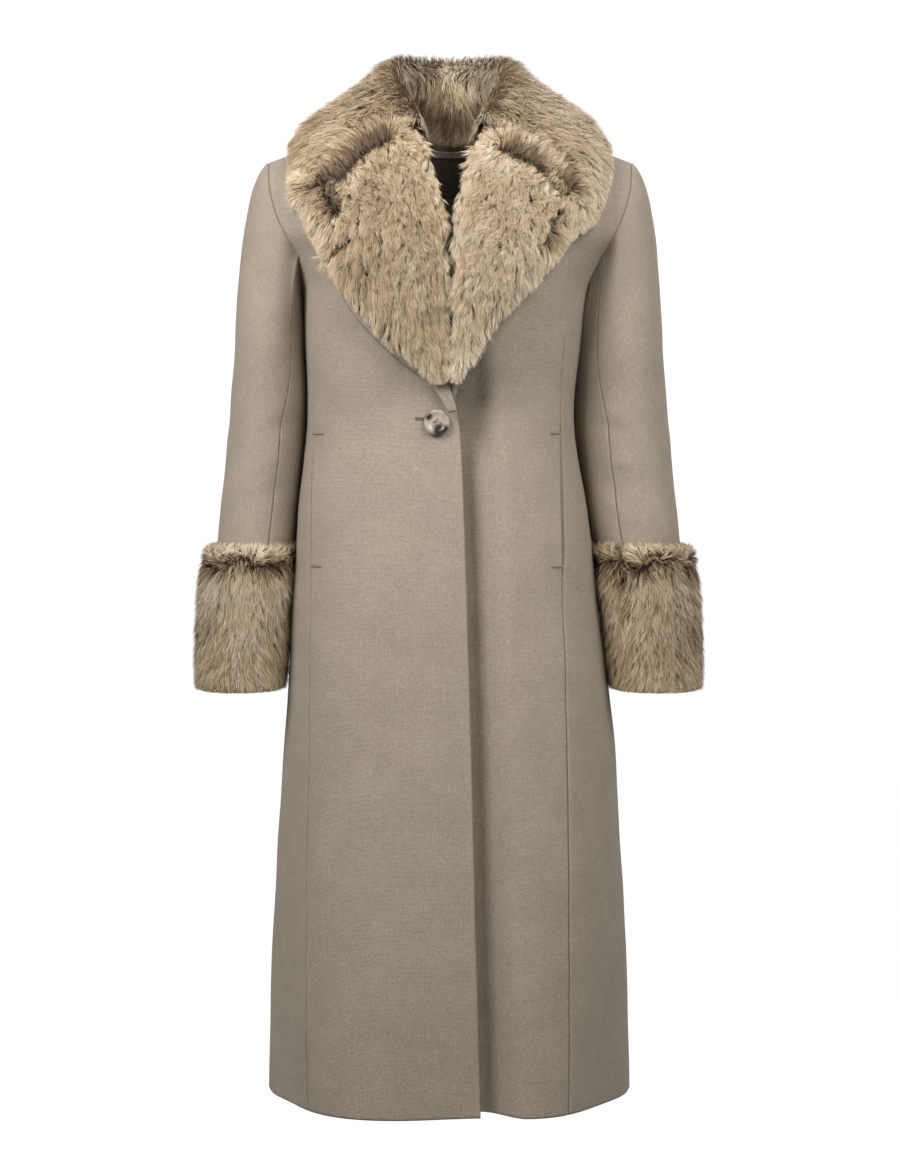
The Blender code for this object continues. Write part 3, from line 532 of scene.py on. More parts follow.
@dataclass(frozen=True)
class Torso:
    """The surface the body panels lie on. Turns run from 0 at the centre front to 90 at the wearer's left."""

    length: float = 1.113
    shoulder_tip: float = 0.207
    neck_half: float = 0.075
    shoulder_drop: float = 0.048
    underarm: float = 0.200
    shoulder_seam_y: float = 0.008
    back_neck_drop: float = 0.014
    roundness: float = 0.9
    most_aside: float = 0.9995
    front_roll: float = 0.20
    back_roll: float = 0.13
    shoulder_power: float = 0.75
    armhole_sweep: float = 0.041
    armhole_notch: float = 0.119
    front_seam_turn: float = 120
    back_seam_turn: float = 240
    underlap_step: float = 0.0260
    underlap_run: float = 0.050
    underlap_zone: Ramp = Ramp(-0.200, -0.055)
    crease_radius: float = 0.170
    fold_growth: float = 1.2
    waver: float = 0.0007
    waver_cells: tuple[float, float] = (0.055, 0.060)
    waver_zone: Ramp = Ramp(-0.05, -0.1)
    neckline_end: float = -0.06
    neckline_steps: int = 16

    def section(self, column: str, height: Array | float) -> Array:
        """A column of the table of sections at heights."""
        return read(SECTIONS, column, height)

    def shoulder_height(self, x: Array) -> Array:
        """Height of the shoulder line."""
        return -self.shoulder_drop * (np.abs(x) - self.neck_half) / (self.shoulder_tip - self.neck_half)

    def push(self, angle: Array, height: Array) -> Array:
        """How far folds, creases and the cloth's own waver move the surface out.

        Args:
            angle: Angles round the body, in radians.
            height: Heights.

        Returns:
            The push, in metres.
        """
        degrees = np.degrees(angle)
        out = crease_push(BODY_CREASES, degrees, height, self.crease_radius)
        for fold in FOLDS:
            turn = (degrees - fold.angle + 180) % 360 - 180
            growth = np.clip((fold.top - height) / (fold.top + self.length), 0, None) ** self.fold_growth
            out = out + fold.depth * np.exp(-((turn / fold.spread) ** 2)) * growth
        across, deep = np.sin(angle) * self.crease_radius, np.cos(angle) * self.crease_radius
        waver = tube_wander((3, 4), self.waver_cells, across, deep, height)
        return out + self.waver * self.waver_zone.at(height) * waver

    def points(self, angle: Array | float, height: Array | float) -> Array:
        """Points of the surface.

        Args:
            angle: Angles round the body, in radians.
            height: Heights.

        Returns:
            Points, along a last axis of three.
        """
        angle, height = np.broadcast_arrays(np.asarray(angle, float), np.asarray(height, float))
        sine, cosine = np.sin(angle), np.cos(angle)
        x = self.section("centre", height) + self.section("half_width", height) * power(sine, self.roundness)
        ahead = cosine > 0
        depth = np.where(ahead, self.section("front", height), self.section("back", height))
        roll = np.where(ahead, self.front_roll, self.back_roll)
        drop = np.clip((self.shoulder_height(x) - height) / roll, 0, 1)
        turn = (1 - (1 - drop) ** 2) ** self.shoulder_power
        y = self.shoulder_seam_y * (1 - turn) - depth * turn * power(cosine, self.roundness)
        push = self.push(angle, height)
        return np.stack([x + push * sine, y - push * cosine, height], axis=-1)

    def normals(self, angle: Array, height: Array) -> Array:
        """Finds which way the surface looks.

        Args:
            angle: Angles round the body, in radians.
            height: Heights.

        Returns:
            Its outward normals, along a last axis of three.
        """
        step = 2e-4
        across = self.points(angle + step, height) - self.points(angle - step, height)
        up = self.points(angle, height) - self.points(angle, np.asarray(height) - step)
        return unit(np.cross(across, up))

    def layer(self, angle: Array, height: Array, offset: Array | float) -> Array:
        """Points over the surface, or under it where the offset is negative."""
        return self.points(angle, height) + self.normals(angle, height) * np.asarray(offset)[..., None]

    def front_angle(self, x: Array | float, height: Array | float) -> Array:
        """Angle of the front's point at a distance from the centre plane."""
        share = (x - self.section("centre", height)) / self.section("half_width", height)
        return np.arcsin(power(np.clip(share, -self.most_aside, self.most_aside), 1 / self.roundness))

    def seam_x(self, side: Side, height: Array | float) -> Array:
        """Where the front seam runs."""
        return self.section(f"seam_{side.word}", height)

    def edge_x(self, side: Side, height: Array | float) -> Array:
        """Where a front ends towards the centre."""
        return read(FRONT_EDGES, side.word, height)

    def underlap(self, x: Array, height: Array) -> Array:
        """Finds how far the wearer's left front is tucked in where the right front lies over it.

        Args:
            x: Distances from the centre plane.
            height: Heights.

        Returns:
            How far in it lies.
        """
        across = smoothstep((self.edge_x(Side.RIGHT, height) + self.underlap_run - x) / self.underlap_run)
        return self.underlap_step * across * self.underlap_zone.at(height)

    def front_layer(self, side: Side, x: Array, height: Array, offset: float = 0.0) -> Array:
        """Points over a front, at distances from the centre plane."""
        tuck = self.underlap(x, height) if side is Side.LEFT else np.zeros_like(x)
        return self.layer(self.front_angle(x, height), height, offset - tuck)

    def armhole_height(self, turn: Array | float) -> Array:
        """Height round the armhole: 0 degrees at the shoulder tip, 90 ahead and 180 under the arm."""
        half = (self.underarm - self.shoulder_drop) / 2
        return -self.shoulder_drop - half + half * np.cos(np.radians(turn))

    def armhole_x(self, height: Array) -> Array:
        """How far out the armhole lies on the front, above the notch."""
        share = np.clip((-self.shoulder_drop - height) / self.armhole_notch, 0, 1)
        return self.shoulder_tip - self.armhole_sweep * share**2

    def armhole_angle(self, side: Side, turn: Array) -> Array:
        """Finds where the armhole lies round the body.

        Args:
            side: The wearer's side.
            turn: Turns round the armhole, as armhole_height counts them.

        Returns:
            Angles round the body, in radians.
        """
        turn = np.where(turn < 0, turn + 360, turn)
        height = self.armhole_height(turn)
        ahead = self.front_angle(side.value * self.armhole_x(height), height)
        behind = side.value * math.pi - ahead
        seam = self.front_angle(self.seam_x(side, height), height)
        side_seam = side.value * math.pi / 2
        front_turn, back_turn = self.front_seam_turn, self.back_seam_turn
        under_front = seam + (side_seam - seam) * (turn - front_turn) / (180 - front_turn)
        under_back = side_seam + (behind - side_seam) * (turn - 180) / (back_turn - 180)
        stretches = [turn <= front_turn, turn <= 180, turn <= back_turn]
        return np.select(stretches, [ahead, under_front, under_back], behind)

    def neckline(self) -> Array:
        """Follows the line the collar is sewn to.

        Returns:
            Its points, from the centre back over the left shoulder and down the front.
        """
        x = np.linspace(0, self.neck_half, self.neckline_steps)
        z = -self.back_neck_drop * (1 - (x / self.neck_half) ** 2)
        back = self.points(math.pi - self.front_angle(x, z), z)
        down = np.linspace(0, self.neckline_end, self.neckline_steps)
        front = self.points(self.front_angle(self.edge_x(Side.LEFT, down), down), down)
        return np.concatenate([back, front])


def linear(colour: str) -> tuple[float, float, float, float]:
    """Turns an sRGB hex value to linear RGBA.

    Args:
        colour: The value, after a hash sign.

    Returns:
        Red, green, blue and alpha.
    """
    shares = [int(colour[i : i + 2], 16) / 255 for i in (1, 3, 5)]
    red, green, blue = (s / 12.92 if s <= 0.04045 else ((s + 0.055) / 1.055) ** 2.4 for s in shares)
    return red, green, blue, 1.0


def feed(tree: Tree, node: bpy.types.Node, links: dict[Any, Any]) -> None:
    """Gives a node's inputs what they get.

    Args:
        tree: The node's tree.
        node: The node.
        links: For each input, the socket that feeds it or the value it holds.
    """
    for name, value in links.items():
        if isinstance(value, bpy.types.NodeSocket):
            tree.links.new(value, node.inputs[name])
        else:
            node.inputs[name].default_value = value


def add_node(
    tree: Tree, kind: str, links: dict[Any, Any], out: int | str = 0, **settings: Any
) -> bpy.types.NodeSocket:
    """Adds a node.

    Args:
        tree: The tree that takes it.
        kind: The node's type, after the word all of them start with.
        links: For each of its inputs, the socket that feeds it or the value it holds.
        out: The output that is wanted.
        **settings: Properties of the node.

    Returns:
        That output.
    """
    made = tree.nodes.new(f"ShaderNode{kind}")
    for name, value in settings.items():
        setattr(made, name, value)
    feed(tree, made, links)
    return made.outputs[out]


# Inputs of a Mix node for colours, and its settings
FACTOR, FIRST, SECOND = 0, 6, 7
COLOURS = {"out": 2, "data_type": "RGBA"}
GRAIN = "grain"
# The export keeps a map of this name, so the strands share one small picture of root to tip by tone
STRAND = "OFBake"


@dataclass(frozen=True)
class Finish:
    """What a surface is made of. Each kind of finish has its own way to dress a material."""

    name: str

    def dress(self, tree: Tree) -> dict[str, Any]:
        """Adds the finish's nodes to a tree.

        Args:
            tree: The material's tree.

        Returns:
            For each of the shader's inputs, the socket that feeds it or the value it holds.
        """
        raise NotImplementedError

    def material(self) -> Material:
        """Makes the finish.

        Returns:
            Its material.
        """
        material = bpy.data.materials.new(self.name)
        material.use_nodes = True
        tree = material.node_tree
        feed(tree, tree.nodes["Principled BSDF"], self.dress(tree))
        return material


@dataclass(frozen=True)
class Wool(Finish):
    """Heathered wool coating: a plain weave of mottled yarn with a short brushed nap, quite matt."""

    name: str = "heathered_wool_coating"
    dark: str = "#8e8272"
    light: str = "#a69a8a"
    slub_light: str = "#b3a797"
    slub_dark: str = "#7f7364"
    sheen: str = "#e2d9cc"
    # Yarns are about 0.7 mm apart, drawn at twice that so that the weave shows from a step away
    yarn: float = 0.0014
    fleck: float = 0.0011
    slub_length: float = 0.0100
    slub_width: float = 0.0010
    cloud: float = 0.045

    def dress(self, tree: Tree) -> dict[str, Any]:
        """Lays the weave on the cloth's own grain, and the flecks and clouds on Object coordinates."""
        grain = add_node(tree, "UVMap", {}, uv_map=GRAIN)
        place = add_node(tree, "TexCoord", {}, "Object")
        fleck = add_node(tree, "TexNoise", {"Vector": place, "Scale": 1 / self.fleck, "Detail": 2.0})
        mottle = add_node(tree, "MapRange", {"Value": fleck, "From Min": 0.34, "From Max": 0.66})
        tones = {FIRST: linear(self.dark), SECOND: linear(self.light)}
        colour = add_node(tree, "Mix", {FACTOR: mottle, **tones}, **COLOURS)
        slub_sizes = ((self.slub_width, self.slub_length), (self.slub_length, self.slub_width))
        for (across, along), tone in zip(slub_sizes, (self.slub_light, self.slub_dark)):
            stretched = add_node(tree, "Mapping", {"Vector": grain, "Scale": (1 / across, 1 / along, 1)})
            slub = add_node(tree, "TexNoise", {"Vector": stretched, "Scale": 1.0})
            shown = {"Value": slub, "From Min": 0.56, "From Max": 0.74, "To Max": 0.7}
            tones = {FACTOR: add_node(tree, "MapRange", shown), FIRST: colour, SECOND: linear(tone)}
            colour = add_node(tree, "Mix", tones, **COLOURS)
        cloud = add_node(tree, "TexNoise", {"Vector": place, "Scale": 1 / self.cloud, "Detail": 2.0})
        shaded = {"Value": cloud, "From Min": 0.3, "From Max": 0.7, "To Min": 0.94, "To Max": 1.05}
        shade = add_node(tree, "MapRange", shaded)
        # A wave node's bands repeat every pi / 10 of its scale
        wave = {"Vector": grain, "Scale": math.pi / 10 / self.yarn, "Distortion": 1.2, "Detail Scale": 0.5}
        warp, weft = (add_node(tree, "TexWave", wave, "Fac", bands_direction=way) for way in "XY")
        weave = add_node(tree, "Math", {0: warp, 1: weft}, operation="ADD")
        relief = add_node(tree, "Math", {0: weave, 1: fleck}, operation="ADD")
        return {
            "Base Color": add_node(tree, "HueSaturation", {"Value": shade, "Color": colour}),
            "Roughness": add_node(tree, "MapRange", {"Value": fleck, "To Min": 0.82, "To Max": 0.97}),
            "Normal": add_node(tree, "Bump", {"Height": relief, "Strength": 0.45, "Distance": 0.0005}),
            "Specular IOR Level": 0.25,
            "Sheen Weight": 0.18,
            "Sheen Roughness": 0.5,
            "Sheen Tint": linear(self.sheen),
        }


@dataclass(frozen=True)
class FurStrands(Finish):
    """Long soft fur: dark roots that pale to cream tips, each strand of its own tone, with a low gloss."""

    name: str = "long_haired_fur"
    roots: tuple[str, str, str] = ("#2c2118", "#8d7453", "#b59d78")
    tips: tuple[str, str, str] = ("#775e44", "#d6bd97", "#fbf0da")

    def dress(self, tree: Tree) -> dict[str, Any]:
        """Gives a colour to each place from root to tip and each tone."""
        strand = add_node(tree, "UVMap", {}, uv_map=STRAND)
        from_root = add_node(tree, "SeparateXYZ", {0: strand}, "X")
        pale = from_root.node.outputs["Y"]
        low = add_node(tree, "MapRange", {"Value": pale, "From Min": 0.0, "From Max": 0.5})
        high = add_node(tree, "MapRange", {"Value": pale, "From Min": 0.5, "From Max": 1.0})
        ends = []
        for dark, middle, light in (self.roots, self.tips):
            tones = {FACTOR: low, FIRST: linear(dark), SECOND: linear(middle)}
            tone = add_node(tree, "Mix", tones, **COLOURS)
            tones = {FACTOR: high, FIRST: tone, SECOND: linear(light)}
            ends.append(add_node(tree, "Mix", tones, **COLOURS))
        tones = {FACTOR: from_root, FIRST: ends[0], SECOND: ends[1]}
        colour = add_node(tree, "Mix", tones, **COLOURS)
        return {"Base Color": colour, "Roughness": 0.6, "Specular IOR Level": 0.3, "Sheen Weight": 0.1}


@dataclass(frozen=True)
class FurSkin(Finish):
    """The leather side of fur: dark suede with soft cloudy patches, seen only between the strands."""

    name: str = "fur_skin"
    # Dark partly as the skin's own colour and partly to paint the shade deep in the pile between the strands
    dark: str = "#33271c"
    light: str = "#57442f"
    patch: float = 0.006

    def dress(self, tree: Tree) -> dict[str, Any]:
        """Lays the patches on the skin's own grain."""
        grain = add_node(tree, "UVMap", {}, uv_map=GRAIN)
        patch = add_node(tree, "TexNoise", {"Vector": grain, "Scale": 1 / self.patch, "Detail": 3.0})
        tones = {FACTOR: patch, FIRST: linear(self.dark), SECOND: linear(self.light)}
        colour = add_node(tree, "Mix", tones, **COLOURS)
        raised = add_node(tree, "Bump", {"Height": patch, "Strength": 0.5, "Distance": 0.001})
        return {"Base Color": colour, "Normal": raised, "Roughness": 0.9}


@dataclass(frozen=True)
class Satin(Finish):
    """Woven satin tape: fine ribs of tight thread with a low sheen."""

    dark: str
    light: str
    roughness: float = 0.5
    # Ribs are about 0.4 mm apart, drawn at three times that so that they show
    rib: float = 0.0012

    def dress(self, tree: Tree) -> dict[str, Any]:
        """Lays the ribs on the tape's own grain."""
        grain = add_node(tree, "UVMap", {}, uv_map=GRAIN)
        wave = {"Vector": grain, "Scale": math.pi / 10 / self.rib, "Distortion": 0.6}
        rib = add_node(tree, "TexWave", wave, "Fac", bands_direction="Y")
        tones = {FACTOR: rib, FIRST: linear(self.dark), SECOND: linear(self.light)}
        colour = add_node(tree, "Mix", tones, **COLOURS)
        raised = add_node(tree, "Bump", {"Height": rib, "Strength": 0.4, "Distance": 0.0002})
        return {"Base Color": colour, "Normal": raised, "Roughness": self.roughness, "Sheen Weight": 0.2}


@dataclass(frozen=True)
class Horn(Finish):
    """Polished horn: cream-grey with brown streaks and dark patches, which grow out from the rim.

    Face is the middle of the button's face, and a patch is a place across and up from there and a radius.
    """

    face: Vector
    cream: str = "#b9b0a2"
    tan: str = "#8f7f68"
    brown: str = "#20160f"
    streak: float = 0.006
    bend: float = 0.006
    # Where a patch begins and where it is full, as shares of its radius
    patch_rim: tuple[float, float] = (1.4, 0.7)
    patches: tuple[tuple[float, float, float], ...] = (
        (-0.0092, 0.0078, 0.0046),
        (0.0032, -0.0094, 0.0074),
        (0.0095, -0.0080, 0.0044),
    )

    def dress(self, tree: Tree) -> dict[str, Any]:
        """Lays streaks and patches on Object coordinates."""
        place = add_node(tree, "TexCoord", {}, "Object")
        cloud = add_node(tree, "TexNoise", {"Vector": place, "Scale": 1 / self.streak, "Detail": 4.0})
        tones = {FACTOR: cloud, FIRST: linear(self.cream), SECOND: linear(self.tan)}
        colour = add_node(tree, "Mix", tones, **COLOURS)
        wander = {0: cloud.node.outputs["Color"], 1: [self.bend] * 3, 2: [-self.bend / 2] * 3}
        warp = add_node(tree, "VectorMath", wander, operation="MULTIPLY_ADD")
        bent = add_node(tree, "VectorMath", {0: place, 1: warp}, operation="ADD")
        pale, full = self.patch_rim
        for across, up, radius in self.patches:
            middle = self.face + Vector((across, 0, up))
            away = add_node(tree, "VectorMath", {0: bent, 1: middle}, "Value", operation="DISTANCE")
            near = {"Value": away, "From Min": radius * pale, "From Max": radius * full}
            tones = {FACTOR: add_node(tree, "MapRange", near), FIRST: colour, SECOND: linear(self.brown)}
            colour = add_node(tree, "Mix", tones, **COLOURS)
        rough = add_node(tree, "MapRange", {"Value": cloud, "To Min": 0.2, "To Max": 0.38})
        return {"Base Color": colour, "Roughness": rough, "IOR": 1.54}


@dataclass(frozen=True)
class Thread(Finish):
    """Sewing thread: two plies, each catching the light a little."""

    dark: str
    light: str
    ply: float = 0.0006

    def dress(self, tree: Tree) -> dict[str, Any]:
        """Lays the plies on Object coordinates."""
        place = add_node(tree, "TexCoord", {}, "Object")
        ply = add_node(tree, "TexNoise", {"Vector": place, "Scale": 1 / self.ply})
        tones = {FACTOR: ply, FIRST: linear(self.dark), SECOND: linear(self.light)}
        colour = add_node(tree, "Mix", tones, **COLOURS)
        return {"Base Color": colour, "Roughness": 0.75}


@dataclass(frozen=True)
class MattPaper(Finish):
    """The paper the floor is covered with: so pale that it burns out to white, with a fine grit."""

    name: str = "pale_matt_floor"
    body: str = "#3a3a39"
    glow: str = "#ffffff"
    grit: float = 0.025

    def dress(self, tree: Tree) -> dict[str, Any]:
        """Lays the grit on Object coordinates."""
        place = add_node(tree, "TexCoord", {}, "Object")
        grit = add_node(tree, "TexNoise", {"Vector": place, "Scale": 1 / self.grit})
        return {
            "Roughness": add_node(tree, "MapRange", {"Value": grit, "To Min": 0.85, "To Max": 0.95}),
            "Base Color": linear(self.body),
            "Emission Color": linear(self.glow),
            "Emission Strength": 0.99,
        }


@dataclass(frozen=True)
class Finishes:
    """One material for each finish of the coat, shared by the pieces that have it."""

    wool: Material = field(default_factory=Wool().material)
    fur: Material = field(default_factory=FurStrands().material)
    skin: Material = field(default_factory=FurSkin().material)
    label: Material = field(default_factory=Satin("dark_brown_satin", "#5c4e42", "#806f5e").material)
    tape: Material = field(default_factory=Satin("cream_cotton_tape", "#b5a68e", "#d8ccb8", 0.8).material)
    thread: Material = field(default_factory=Thread("taupe_thread", "#6f6354", "#9b8e7d").material)
    # A gimp cord whose dark colour paints the shade in the buttonhole's slit
    painted_shade_gimp: Material = field(default_factory=Thread("painted_slit_shade_gimp", "#3a3026", "#574a3c").material)


class SubAssembly:
    """A part of the coat that builds and dresses its own pieces."""

    def build(self, finishes: Finishes) -> None:
        """Builds the pieces and puts them into the coat.

        Args:
            finishes: The materials that they are dressed in.
        """
        raise NotImplementedError


class Slot(Enum):
    """The record's material slots."""

    WOOL = "wool"
    FUR = "fur"
    LABEL = "label"
    HORN = "horn"


class Cut(NamedTuple):
    """The flat size a piece of cloth was cut to, and its flat area."""

    width: float
    length: float
    area: float


def add_object(name: str, data: bpy.types.ID) -> Piece:
    """Adds an object to the scene.

    Args:
        name: Its name.
        data: Its mesh, curve, lamp or camera.

    Returns:
        The object.
    """
    made = bpy.data.objects.new(name, data)
    bpy.context.scene.collection.objects.link(made)
    return made


def taken_from(guide: Piece, *helpers: Piece) -> bpy.types.Mesh:
    """Makes a mesh of what a guide shows, and removes the guide.

    Args:
        guide: The guide, a curve or a mesh with modifiers.
        *helpers: What its modifiers use, which goes too.

    Returns:
        The mesh.
    """
    graph = bpy.context.evaluated_depsgraph_get()
    mesh = bpy.data.meshes.new_from_object(guide.evaluated_get(graph))
    for used in (guide, *helpers):
        bpy.data.objects.remove(used)
    mesh.shade_smooth()
    return mesh


def add_piece(name: str, mesh: bpy.types.Mesh, material: Material, slot: Slot, *nodes: str) -> Piece:
    """Puts a mesh into the coat.

    Args:
        name: The piece's name.
        mesh: Its mesh, already in place.
        material: Its finish.
        slot: The record's slot for that finish. Not used.
        *nodes: The solids that it stands for.

    Returns:
        The piece.
    """
    piece = add_object(name, mesh)
    mesh.materials.append(material)
    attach(piece, BODY)
    if nodes:
        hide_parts(*nodes)
    log.info("%s: %d faces", name, len(mesh.polygons))
    return piece


def turned_in(points: Array, flip: bool, edges: Ends) -> Array:
    """Moves a panel's borders in, where its cloth turns into a seam or over an edge.

    Args:
        points: The panel's grid.
        flip: Whether the grid's own normals point in.
        edges: How the borders end.

    Returns:
        The grid with its borders turned in.
    """
    normals = grid_normals(points) * (-1 if flip else 1)
    across, along = run(points, 1), run(points, 0)
    distances = (across, across[:, -1:] - across, along, along[-1:] - along)
    for edge, distance in zip(edges, distances):
        if edge is not None:
            depth, width = edge.value
            near = 1 - np.clip(distance / width, 0, 1)
            points = points - normals * (depth * near**2)[..., None]
    return points


def grid_mesh(name: str, points: Array, flip: bool, closed: bool) -> bpy.types.Mesh:
    """A mesh through a grid of points, with its distances in metres as a UV map.

    Args:
        name: The mesh's name.
        points: The grid, in rows of columns.
        flip: Whether to turn the faces round, so that they look out.
        closed: Whether the last column lies on the first, as on a tube.

    Returns:
        The mesh.
    """
    rows, columns = points.shape[:2]
    mesh = bpy.data.meshes.new(name)
    bm = bmesh.new()
    bmesh.ops.create_grid(bm, x_segments=columns - 1, y_segments=rows - 1, size=0.5)
    if flip:
        bmesh.ops.reverse_faces(bm, faces=bm.faces)
    bm.to_mesh(mesh)
    places = np.empty(len(mesh.vertices) * 3, np.float32)
    mesh.vertices.foreach_get("co", places)
    places = places.reshape(-1, 3) + 0.5
    row, column = (np.rint(places[:, 1] * (rows - 1)), np.rint(places[:, 0] * (columns - 1)))
    row, column = row.astype(int), column.astype(int)
    mesh.vertices.foreach_set("co", points[row, column].astype(np.float32).ravel())
    corners = np.empty(len(mesh.loops), np.int32)
    mesh.loops.foreach_get("vertex_index", corners)
    across, along = run(points, 1), run(points, 0)
    middle = columns // 2
    grain = np.stack([across - across[:, middle : middle + 1], along], axis=-1)[row, column][corners]
    mesh.uv_layers.new(name=GRAIN).data.foreach_set("uv", grain.astype(np.float32).ravel())
    bm.clear()
    bm.from_mesh(mesh)
    if closed:
        bmesh.ops.remove_doubles(bm, verts=bm.verts, dist=MERGE)
    bm.to_mesh(mesh)
    bm.free()
    mesh.shade_smooth()
    return mesh


@dataclass(frozen=True)
class Cloth:
    """A piece of cloth on a grid of points, which its wall goes in from.

    Part is the part of the coat it stands for, or lies on where it replaces no solid, and stuff is what it is
    made of. Cut is its flat size.
    """

    part: str
    points: Array
    cut: Cut
    stuff: str = "wool"
    slot: Slot = Slot.WOOL
    replaces: bool = True
    thickness: float = 0.0022
    flip: bool = False
    closed: bool = False
    edges: Ends = Ends()
    held: Held = Held.HUNG
    rests_on: tuple[str, ...] = ()

    def build(self, material: Material, with_pieces: Sequence[Piece] = ()) -> Piece:
        """Args:
            material: Its finish.
            with_pieces: What is sewn to it or grows from it. Not used.

        Returns:
            The piece.
        """
        name = f"{self.part}_{self.stuff}"
        points = turned_in(self.points, self.flip, self.edges)
        mesh = grid_mesh(name, points, self.flip, self.closed)
        nodes = [self.part] if self.replaces else []
        piece = add_piece(name, mesh, material, self.slot, *nodes)
        wall = piece.modifiers.new("wall", "SOLIDIFY")
        wall.thickness = self.thickness
        wall.offset = -1
        return piece


@dataclass(frozen=True)
class Body(SubAssembly):
    """The two fronts, the two side panels and the back, in wool."""

    torso: Torso
    front_rows: int = 170
    front_columns: int = 40
    side_columns: int = 20
    back_columns: int = 72
    armhole_rows: int = 48
    lower_rows: int = 130
    seam_lap: float = 0.0002
    shoulder_gap: float = 0.0001
    pocket_top: float = -0.359
    pocket_bottom: float = -0.507
    mouth_depth: Pair = Pair(0.0010, 0.0100)
    mouth_width: float = 0.0036
    mouth_gape: float = 0.32
    mouth_fade: float = 0.01
    gape_power: float = 40
    row_crowd: float = 0.7
    top_rounds: int = 4
    front_cut: Cut = Cut(0.208, 1.210, 0.215)
    side_cut: Cut = Cut(0.155, 0.975, 0.094)
    back_cut: Cut = Cut(0.599, 1.178, 0.562)

    def front(self, side: Side) -> Cloth:
        """Lays out a front, from its edge and lapel roll to the front seam and the armhole.

        Args:
            side: The wearer's side.

        Returns:
            The cloth.
        """
        torso = self.torso
        outer_z = crowded(-torso.length, -torso.shoulder_drop, self.front_rows, self.row_crowd)
        rise = torso.underarm / (torso.underarm - torso.shoulder_drop)
        climbing = outer_z > -torso.underarm
        inner_z = np.where(climbing, -torso.underarm + (outer_z + torso.underarm) * rise, outer_z)
        notch = torso.armhole_height(torso.front_seam_turn)
        over = side.value * torso.armhole_x(outer_z)
        outer_x = np.where(outer_z > notch, over, torso.seam_x(side, outer_z)) + side.value * self.seam_lap
        inner_x = torso.edge_x(side, inner_z)
        share = crowded(0, 1, self.front_columns)
        x = inner_x[:, None] + (outer_x - inner_x)[:, None] * share
        z = inner_z[:, None] + (outer_z - inner_z)[:, None] * share
        z[-1] = torso.shoulder_height(x[-1])
        points = torso.front_layer(side, x, z)
        points[-1, :, 1] -= self.shoulder_gap
        return Cloth(
            part=f"front_{side.word}",
            points=points,
            cut=self.front_cut,
            flip=side is Side.RIGHT,
            edges=Ends(Edge.TURNED, Edge.SEWN, Edge.TURNED, Edge.SEWN),
            rests_on=("back_wool", f"side_{side.word}_wool"),
        )

    def side(self, side: Side) -> Cloth:
        """Lays out the panel between the front seam and the side seam. It falls in behind the pocket mouth.

        Args:
            side: The wearer's side.

        Returns:
            The cloth.
        """
        torso = self.torso
        share = crowded(0, 1, self.side_columns)
        first, last = torso.front_seam_turn, 180
        tops = torso.armhole_height(first + (last - first) * share)
        climb = crowded(0, 1, self.lower_rows, self.row_crowd)[:, None]
        z = -torso.length + (tops + torso.length) * climb
        seam = torso.front_angle(torso.seam_x(side, z), z)
        angle = seam + (side.value * math.pi / 2 - seam) * share
        below, above = self.pocket_top - z, z - self.pocket_bottom
        mouth = smoothstep(below / self.mouth_fade) * smoothstep(above / self.mouth_fade)
        depth = self.mouth_depth.on(side)
        gap = self.mouth_gape * depth * mouth * (1 - share) ** self.gape_power - self.seam_lap
        gap = gap / torso.section("half_width", z)
        angle = angle + side.value * gap * (1 - 2 * share)
        points = torso.points(angle, z)
        dip = depth * mouth * (1 - smoothstep(run(points, 1) / self.mouth_width))
        points = points - torso.normals(angle, z) * dip[..., None]
        return Cloth(
            part=f"side_{side.word}",
            points=points,
            cut=self.side_cut,
            flip=side is Side.RIGHT,
            edges=Ends(Edge.SEWN, Edge.SEWN, Edge.TURNED, Edge.SEWN),
            rests_on=("back_wool",),
        )

    def back_top(self, angle: Array) -> Array:
        """Finds where the back ends: on the shoulder seams, and along the neckline between them.

        Args:
            angle: Angles round the body, in radians.

        Returns:
            The height there.
        """
        torso = self.torso
        z = np.zeros_like(angle)
        for _ in range(self.top_rounds):
            x = torso.points(angle, z)[..., 0]
            neck = -torso.back_neck_drop * (1 - np.clip(np.abs(x) / torso.neck_half, 0, 1) ** 2)
            z = np.where(np.abs(x) > torso.neck_half, torso.shoulder_height(x), neck)
        return z

    def back(self) -> Cloth:
        """Lays out the back in one piece, between the side seams, up to the shoulder seams and the neckline.

        Returns:
            The cloth.
        """
        torso = self.torso
        over = np.linspace(180, 360, self.armhole_rows + 1)[1:]
        low = crowded(-torso.length, -torso.underarm, self.lower_rows, self.row_crowd)
        side_z = np.concatenate([low, torso.armhole_height(over)])
        left = np.concatenate([np.full(len(low), math.pi / 2), torso.armhole_angle(Side.LEFT, over)])
        right = torso.armhole_angle(Side.RIGHT, over) + 2 * math.pi
        right = np.concatenate([np.full(len(low), 1.5 * math.pi), right])
        gap = -self.seam_lap / torso.section("half_width", side_z)
        left, right = left + gap, right - gap
        share = crowded(0, 1, self.back_columns)
        angle = left[:, None] + (right - left)[:, None] * share
        climb = np.clip((side_z + torso.underarm) / (torso.underarm - torso.shoulder_drop), 0, 1)
        z = side_z[:, None] + climb[:, None] * (self.back_top(angle[-1]) + torso.shoulder_drop)
        points = torso.points(angle, z)
        points[-1, :, 1] += self.shoulder_gap
        return Cloth(
            part="back",
            points=points,
            cut=self.back_cut,
            edges=Ends(Edge.SEWN, Edge.SEWN, Edge.TURNED, Edge.SEWN),
            rests_on=("neck_facing_wool",),
        )

    def build(self, finishes: Finishes) -> None:
        """Builds the panels."""
        self.back().build(finishes.wool)
        for side in Side:
            self.side(side).build(finishes.wool)
            self.front(side).build(finishes.wool)


